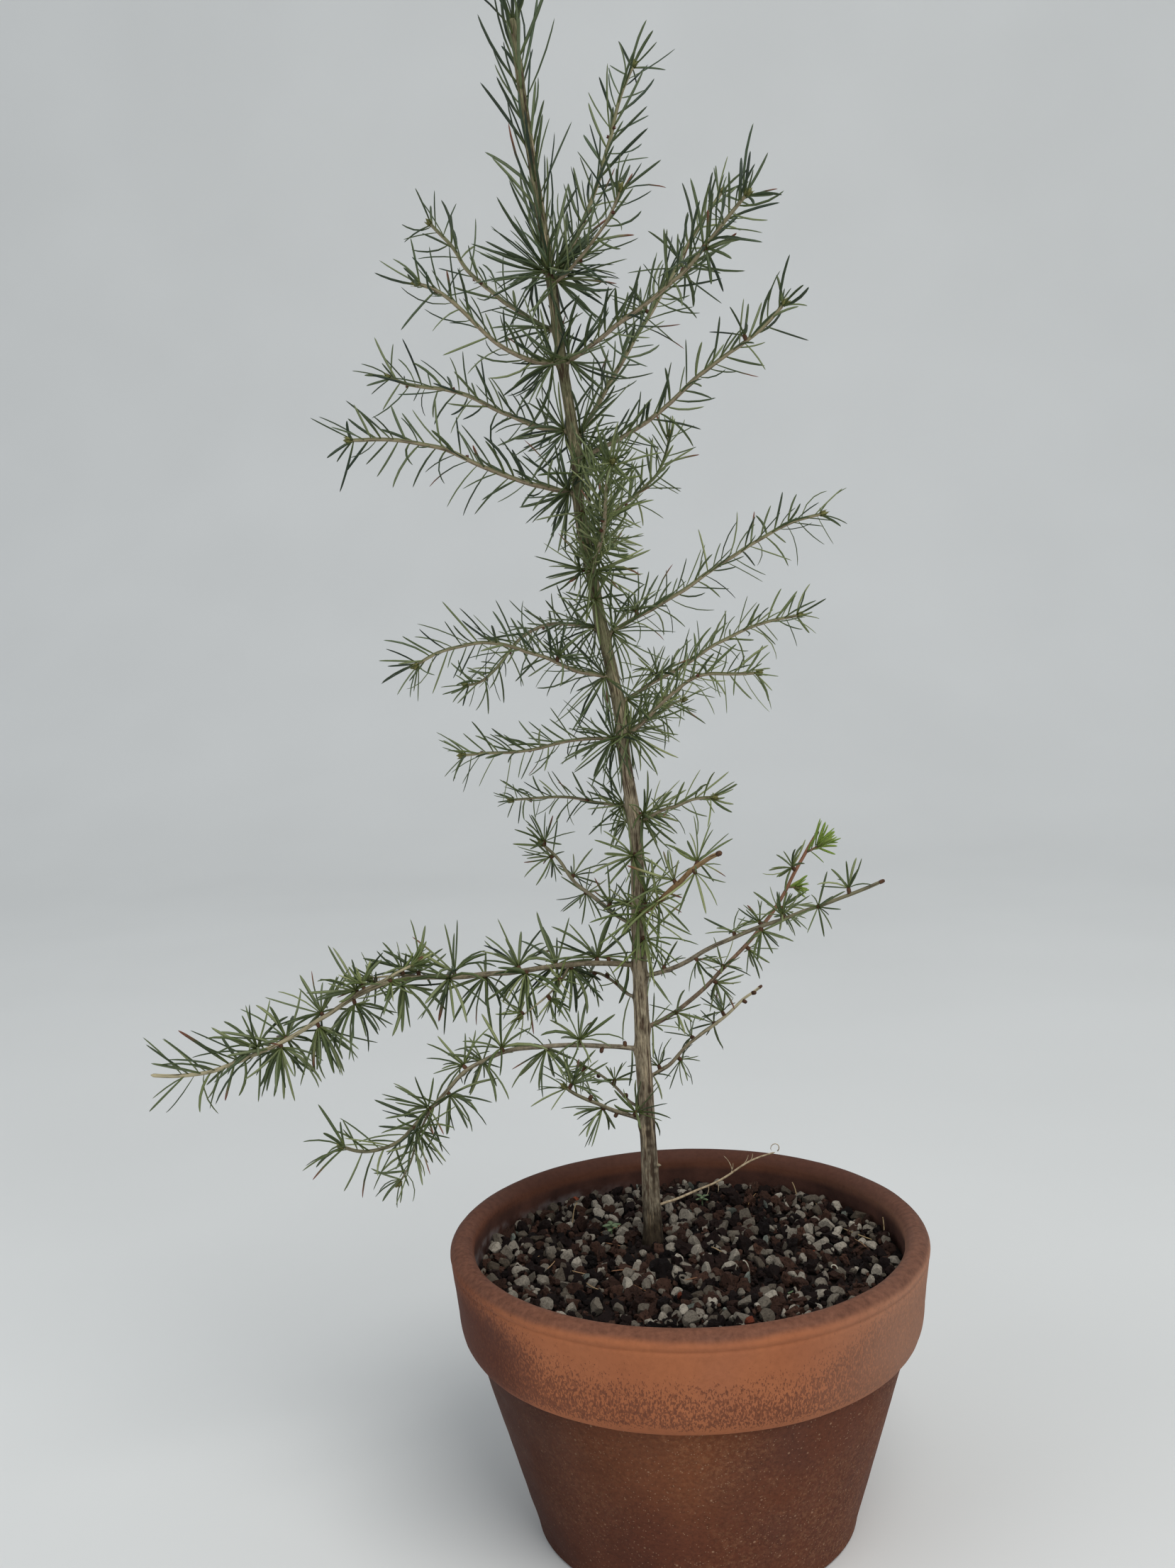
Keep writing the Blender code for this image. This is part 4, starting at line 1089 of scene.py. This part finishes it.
class Needles:
    """Needles gathered for one piece: foot, heading, length, bend and colour of each."""

    def __init__(self, seed):
        self.random = np.random.default_rng(seed)
        self.rows = []

    def grow(self, foot, heading, length, bend, fresh, width, wither=0.0):
        blush = float(self.random.random() < 0.03)
        fresh = float(np.clip(fresh + self.random.normal() * 0.14, 0, max(1.0, fresh)))
        self.rows.append((*foot, *heading, length, *bend, fresh, wither, width, blush))

    def rosette(self, foot, axis, count, look, scale=1.0, opening=(15, 92)):
        """Needles that open from a spur like the ribs of an umbrella."""
        random = self.random
        axis = unit(axis)
        side, over = crossways(axis, 0.013)
        turn = random.uniform(0, 2 * math.pi)
        for number in range(count):
            angle = turn + number * GOLDEN_ANGLE + random.normal() * 0.3
            share = (number + 0.5) / count
            spread = opening[0] + (opening[1] - opening[0]) * share**0.7 + random.normal() * 8
            outward = turned(side, over, angle)
            heading = turned(axis, outward, math.radians(spread))
            length = look.needle * scale * MM * random.uniform(0.68, 1.18)
            droop = look.hang * random.uniform(0.0, 0.45)
            bend = 0.16 * random.normal() * axis + 0.12 * random.normal(size=3) - UP * droop
            width = look.broad * random.uniform(0.82, 1.12)
            self.grow(foot + outward * 0.35 * MM, heading, length, bend, look.fresh, width)

    def spiral(self, line, start, look, radius, lean=(38, 66)):
        """Single needles round a shoot. Those above stand up, those below are thin and hang."""
        random = self.random
        length = run_lengths(line)
        heading, across, over = frames_along(line)
        place = start * length[-1]
        angle = random.uniform(0, 2 * math.pi)
        while place < length[-1] - 1.0 * MM:
            index = int(np.searchsorted(length, place))
            angle += GOLDEN_ANGLE + random.normal() * 0.25
            outward = turned(across[index], over[index], angle)
            below = max(0.0, -float(outward @ UP))
            raised = unit(outward + UP * 0.35 * (1 - below))
            tilt = math.radians(random.uniform(*lean) + 14 * below)
            course = turned(heading[index], raised, tilt)
            foot = line[index] + outward * radius * 0.7
            size = look.needle * MM * random.uniform(0.62, 1.16)
            droop = look.hang * (0.12 + 0.88 * below) * random.uniform(0.1, 0.9)
            waver = 0.12 + 0.14 * below
            bend = heading[index] * random.uniform(-0.15, 0.4) + waver * random.normal(size=3)
            bend = bend + UP * (0.08 * (1 - below) - droop)
            width = look.broad * random.uniform(0.85, 1.12) * (1 - 0.25 * below)
            self.grow(foot, unit(course), size, bend, look.fresh, width)
            place += look.step * MM * random.uniform(0.5, 1.5)

    def piece(self, name, replaced=None):
        """All the needles as one mesh of slender blades, kept inside the CAD's box."""
        count = len(self.rows)
        foot, heading, length, bend, fresh, wither, width, blush = np.split(
            np.array(self.rows), (3, 6, 7, 10, 11, 12, 13), axis=1)
        heading = unit(heading)
        bend = bend - heading * dot(heading, bend)
        turning = np.clip(2 * np.linalg.norm(bend, axis=1, keepdims=True), 0.02, 2.2)
        sideways = unit(bend)

        def along_arc(share):
            """Place and direction at a share of each needle, which bends as an arc."""
            angle = turning * share
            place = heading * np.sin(angle) + sideways * (1 - np.cos(angle))
            return foot + place * length / turning, turned(heading, sideways, angle)

        tip = along_arc(1.0)[0]
        low, high = np.array(cad_box)
        past = np.maximum(low + BOX_MARGIN - tip, tip - high + BOX_MARGIN).max(axis=1)
        length = np.maximum(length - np.clip(past, 0, None)[:, None] * 1.3, 3 * MM)
        roll = self.random.uniform(0, 2 * math.pi, count)[:, None]
        flat = turned(*crossways(heading, 0.017), roll)
        rings = []
        for place, swell in zip(NEEDLE_SHARES, NEEDLE_WIDTHS):
            centre, course = along_arc(place)
            across = unit(flat - course * dot(flat, course))
            wide = across * (0.5 * MM * width * swell)
            thick = np.cross(course, across) * (0.5 * MM * width * swell * NEEDLE_THICKNESS)
            corners = (centre + wide, centre + thick, centre - wide, centre - thick)
            rings.append(np.stack(corners, axis=1))
        blades = np.concatenate([*rings, along_arc(1.0)[0][:, None]], axis=1)
        last = (len(rings) - 1) * 4
        cap = [(last + corner, last + (corner + 1) % 4, last + 4, -1) for corner in range(4)]
        one = np.concatenate((ring_faces(len(rings), 4)[:-2], cap))
        points_each = blades.shape[1]
        shift = np.arange(count)[:, None, None] * points_each
        faces = np.where(one[None] >= 0, one[None] + shift, -1).reshape(-1, 4)
        tone = self.random.uniform(0, 1, count)
        marks = {"fresh": fresh, "wither": wither, "tone": tone, "blush": blush}
        marks = {mark: np.repeat(values, points_each) for mark, values in marks.items()}
        along = np.tile(np.append(np.repeat(NEEDLE_SHARES, 4), 1.0), count)
        made = Collected()
        made.add(blades, faces, along=along, **marks)
        made.piece(name, ["needle_green"], "needle_green", replaced)


# Shoots


def add_side_buds(wood, line, radii, random):
    """Small round buds along a young shoot."""
    heading, across, over = frames_along(line)
    for _ in range(int(len(line) / 26)):
        index = int(len(line) * (0.3 + 0.6 * random.random()))
        outward = turned(across[index], over[index], random.uniform(0, 2 * math.pi))
        course = unit(outward + heading[index] * 0.5)
        add_bud(wood, line[index] + outward * radii[index] * 0.5, course, 1.6 * MM, 0.6 * MM, 3)


def dress_shoot(wood, needles, line, radii, look, skin):
    """Spurs with their rosettes, single needles, buds and the tip of one shoot."""
    random = needles.random
    last = len(line) - 1
    heading, across, over = frames_along(line)
    for number, share in enumerate((*look.spurs, *look.bare)):
        index = max(min(int(share * last), last - 1), skin + 1)
        # Spurs point up and down by turns, lean to either side and a little forward
        upright = np.sign(over[index] @ UP) * (-1) ** number
        angle = math.radians(90 * upright + random.normal() * 38)
        course = unit(turned(across[index], over[index], angle) + heading[index] * 0.2)
        knob = random.uniform(1.8, 2.8) * MM
        foot = line[index] + course * radii[index] * 0.6
        add_spur(wood, foot, course, knob, 0.9 * MM, 1)
        if number < len(look.spurs):
            count = look.rosette + int(random.integers(-3, 4))
            opening = (12, random.uniform(66, 100))
            end = foot + course * (knob - 0.4 * MM)
            needles.rosette(end, course, count, look, 0.86, opening)
    needles.spiral(line if look.tip else line[:-BARE_TIP], look.singles, look, radii[-1])
    tip_course = unit(line[-1] - line[-4])
    end = line[-1] - tip_course * 0.6 * MM
    needles.rosette(end, tip_course, look.tip, look, 0.8, (0.2 * look.spread, look.spread))
    if look.tip:
        add_bud(wood, end, tip_course, 3.6 * MM, 1.2 * MM, 2)
    elif look.singles > 1:
        add_spur(wood, end, tip_course, 2.2 * MM, radii[-1] * 1.15, 1)
    if not look.spurs:
        add_side_buds(wood, line, radii, random)


def collar_rise(height):
    """How much the needles round a shoot's foot point up: down low on the tree, up near its top."""
    return float(np.interp(height, (300, 420, 500, 520), (-0.25, -0.05, 0.35, 0.6)))


def shoot_radii(shoot, line):
    return shoot.radius * MM * np.linspace(1.0, TIP_TAPER, len(line))


def build_branch(branch, seed):
    """One branch with its side shoots, and all the needles on them."""
    centre, trunk_radius = trunk_at(branch.height)
    line = branch_line(branch, centre)
    radii = shoot_radii(branch, line)
    radii[:5] *= np.array((1.5, 1.45, 1.35, 1.2, 1.08))
    wood = Collected()
    add_twig(wood, line, radii, seed)
    needles = Needles(seed)
    look = branch.foliage
    skin = min(int(trunk_radius / MM + 2.2), len(line) - 3)
    collar_scale = 0.95 if len(look.spurs) > 2 else min(1.35, 25 / look.needle)
    axis = bearing_vector(branch.bearing) + collar_rise(branch.height) * UP
    needles.rosette(line[skin], axis, look.collar, look, collar_scale, (20, 100))
    dress_shoot(wood, needles, line, radii, look, skin)
    for number, shoot in enumerate(SIDE_SHOOTS):
        if shoot.parent == branch.name:
            side_line = branch_line(shoot, line[int(shoot.share * (len(line) - 1))])
            side_radii = shoot_radii(shoot, side_line)
            add_twig(wood, side_line, side_radii, seed + 40 + number)
            dress_shoot(wood, needles, side_line, side_radii, shoot.foliage, 1)
    skin_name = SKINS.get(branch.name, "green_twig" if branch.height > YOUNG_WOOD else "twig_bark")
    paints = (skin_name, "spur_bark", "bud_scales", "red_bud")
    wood.piece(f"{branch.name}_wood", paints, "bark", branch.name)
    sleeve = branch.name.replace("branch", "needles")
    needles.piece(f"{branch.name}_foliage", sleeve if sleeve in frame["nodes"] else None)


def build_trunk_foliage():
    """Tufts on spurs of the trunk, and the single needles of the leader."""
    tufts = Needles(700)
    spurs = Collected()
    for tuft in TRUNK_TUFTS:
        centre, radius = trunk_at(tuft.height)
        course = unit(bearing_vector(tuft.bearing) + collar_rise(tuft.height) * UP)
        foot = centre + course * radius * 0.8
        add_spur(spurs, foot, course, 2.4 * MM, 1.0 * MM, 0)
        look = Foliage(needle=tuft.needle, hang=tuft.hang, fresh=tuft.fresh, broad=1.05)
        widest = 68 if tuft.height * MM > LEADER_START - 6 * MM else 95
        tufts.rosette(foot + course * 2.2 * MM, course, tuft.count, look, opening=(12, widest))
    spurs.piece("trunk_spurs", ["spur_bark"], "bark")
    tufts.piece("trunk_tufts")
    leader = Needles(701)
    heights = np.arange(LEADER_START, TRUNK_HEIGHTS[-1], 1 * MM)
    line = smooth_through(TRUNK_CENTRES, TRUNK_HEIGHTS, heights)
    look = Foliage(needle=29, hang=0.0, fresh=0.1, broad=1.3, step=1.75)
    leader.spiral(line, 0.0, look, 1.6 * MM, lean=(18, 54))
    leader.rosette(line[-1] - 1 * MM * UP, line[-1] - line[-4], 9, look, 0.8, opening=(8, 35))
    leader.piece("leader_foliage", "leader_needles")


def curled(outward, angle, length):
    """Steps of a line that rises and curls as its angles in degrees say."""
    course = turned(outward, UP, np.radians(angle)[:, None])
    return np.cumsum(course * length / len(angle), axis=0)


def build_dead_twig():
    """The bare twig low on the trunk, with its forks and the curl at its tip."""
    line = branch_line(DEAD_TWIG, trunk_at(DEAD_TWIG.height)[0])
    made = Collected()
    add_twig(made, line, DEAD_TWIG.radius * MM * np.linspace(1.0, 0.55, len(line)), 9)
    outward = bearing_vector(DEAD_TWIG.bearing)
    for share, rise, reach, radius, curl in DEAD_FORKS:
        angle = rise + curl * np.linspace(0, 1, 9) * (1 if rise > 0 else -1)
        thin = line[int(share * (len(line) - 1))] + curled(outward, angle, reach * MM)
        add_twig(made, thin, radius * MM * np.linspace(1, 0.6, 9), 10, turns=6)
    made.piece("dead_twig_wood", ["dead_wood"], "dead_wood", "dead_twig")


# What grows and lies on the grit

SUNK = -1.5 * MM


def leaf_disc(foot, heading, length, width):
    """A small lobed leaf as a thin closed blade."""
    share = np.linspace(0, 1, 7)[:, None]
    lobes = 0.75 + 0.3 * np.cos(share * math.pi * 5)
    half = width / 2 * np.sin(np.pi * np.clip(share * 0.9 + 0.06, 0, 1)) * lobes
    side = unit(np.cross(heading, UP)) * half
    spine = foot + heading * (share * length) - UP * (0.25 * length * share**2)
    return np.stack((spine + side, spine + UP * 0.22 * MM, spine - side, spine - UP * 0.12 * MM),
                    axis=1)


def build_weeds():
    for number, weed in enumerate(WEEDS):
        made = Collected()
        foot = on_soil(weed.right * MM, weed.back * MM, SUNK)
        stem = foot + UP * np.linspace(0, weed.height * MM, 6)[:, None]
        made.rings(tube_points(stem, 0.35 * MM, 6))
        for leaf in range(weed.leaves):
            angle = 2 * math.pi * leaf / weed.leaves + 0.4 * number
            outward = unit(np.array((math.cos(angle), math.sin(angle), 0.25)))
            size = weed.leaf * MM
            made.rings(leaf_disc(stem[-1 - leaf % 2], outward, size, 0.9 * size))
        replaced = "weed_seedling" if number == 0 else None
        made.piece(f"weed_{number}", ["weed_green"], "weed_green", replaced)


def build_litter():
    """Dry stalks, pale sprouts and fallen needles."""
    for name, stalks, paint, radius in (("dry_stalks", DRY_STALKS, "straw", 0.32),
                                        ("pale_sprouts", PALE_SPROUTS, "sprout", 0.36)):
        made = Collected()
        for stalk in stalks:
            angle = 90 - stalk.lean - stalk.curl * np.linspace(0, 1, 16) ** 4
            line = curled(bearing_vector(stalk.bearing), angle, stalk.length * MM)
            line = line + on_soil(stalk.right * MM, stalk.back * MM, SUNK)
            made.rings(tube_points(line, radius * MM * np.linspace(1, 0.7, 16), 7))
        made.piece(name, [paint], "dead_wood")
    fallen = Needles(55)
    random = fallen.random
    for _ in range(18):
        distance = 82 * MM * math.sqrt(random.random())
        right, back, _ = distance * turned(RIGHT, BACK, random.uniform(0, 2 * math.pi))
        foot = on_soil(right, back, random.uniform(1.2, 2.2) * MM)
        course = np.array((*random.normal(size=2), random.normal() * 0.12))
        bend = 0.15 * random.normal(size=3) * np.array((1, 1, 0.3))
        length = random.uniform(9, 19) * MM
        fallen.grow(foot, unit(course), length, bend, 0.3, 0.55, random.uniform(0.6, 1))
    fallen.piece("fallen_needles")


# Stage


def build_stage():
    """A pale floor that curves up into a wall far behind."""
    run = np.linspace(-3.0, 1.5, 10)
    section = np.concatenate((np.stack((run, np.zeros(10)), axis=-1),
                              arc((1.5, 1.2), 1.2, -90, 0, 16)[1:], ((2.7, 3.0), (2.7, 5.0))))
    across = np.linspace(-5, 5, 12)
    index = np.arange(len(section) * 12).reshape(-1, 12)
    points = [(x, *spot) for spot in section.tolist() for x in across.tolist()]
    faces = np.stack((index[:-1, :-1], index[:-1, 1:], index[1:, 1:], index[1:, :-1]), axis=-1)
    mesh = bpy.data.meshes.new("floor")
    mesh.from_pydata(points, [], faces.reshape(-1, 4).tolist())
    mesh.shade_smooth()
    paint = Paint("floor_paint", 0.9, 0.2)
    paint.colour(paint.ramp(paint.noise(3, 2), (0.3, "dddddb"), (0.7, "e1e1df")))
    mesh.materials.append(paint.material)
    floor = bpy.data.objects.new("floor", mesh)
    bpy.context.scene.collection.objects.link(floor)


def put(name, data, axes, place):
    """An object with the given X, Y and Z axes at a place."""
    made = bpy.data.objects.new(name, data)
    rows = [(*row, spot) for row, spot in zip(np.stack(axes, axis=1), place)]
    made.matrix_world = Matrix([*rows, (0, 0, 0, 1)])
    bpy.context.scene.collection.objects.link(made)
    return made


def area_light(name, place, size, power, tint):
    """A square light that faces the tree."""
    data = bpy.data.lights.new(name, "AREA")
    data.shape = "RECTANGLE"
    data.size = data.size_y = size
    data.energy = power
    data.color = tint
    toward = unit(np.array(place) - 0.3 * UP)
    across = unit(np.cross(UP, toward))
    put(name, data, (across, np.cross(toward, across), toward), place)


def build_light():
    world = bpy.data.worlds.new("soft_sky")
    world.use_nodes = True
    background = world.node_tree.nodes["Background"]
    background.inputs["Color"].default_value = (0.86, 0.93, 1.0, 1.0)
    background.inputs["Strength"].default_value = 0.5
    bpy.context.scene.world = world
    area_light("key", (1.0, -1.5, 2.6), 2.0, 56, (1.0, 0.99, 0.965))
    area_light("fill", (-2.2, -1.4, 1.4), 1.6, 12, (0.95, 0.98, 1.0))


def build_camera():
    ahead = turned(turned(BACK, RIGHT, CAMERA_YAW), -UP, CAMERA_DOWN)
    right = turned(RIGHT, -BACK, CAMERA_YAW)
    over = np.cross(right, ahead)
    data = bpy.data.cameras.new("camera")
    data.lens = CAMERA_LENS_MM
    data.sensor_width = 36.0
    axes = (turned(right, over, CAMERA_ROLL), turned(over, -right, CAMERA_ROLL), -ahead)
    bpy.context.scene.camera = put("camera", data, axes, CAMERA_FROM_AXIS + POT_AXIS)


def dress_screen():
    """The screen over the drain hole keeps its CAD shape and gets a moulded plastic finish."""
    screen = frame["nodes"]["drain_mesh"]
    screen.data.materials.clear()
    screen.data.materials.append(simple_paint("mesh_plastic", "181819", "262628", 900, 0.5))


bpy.context.scene.view_settings.view_transform = "Standard"
build_camera()
build_light()
build_stage()
build_pot()
build_grit()
build_trunk()
for number, branch in enumerate(BRANCHES):
    build_branch(branch, 100 + number)
build_trunk_foliage()
build_dead_twig()
build_weeds()
build_litter()
dress_screen()
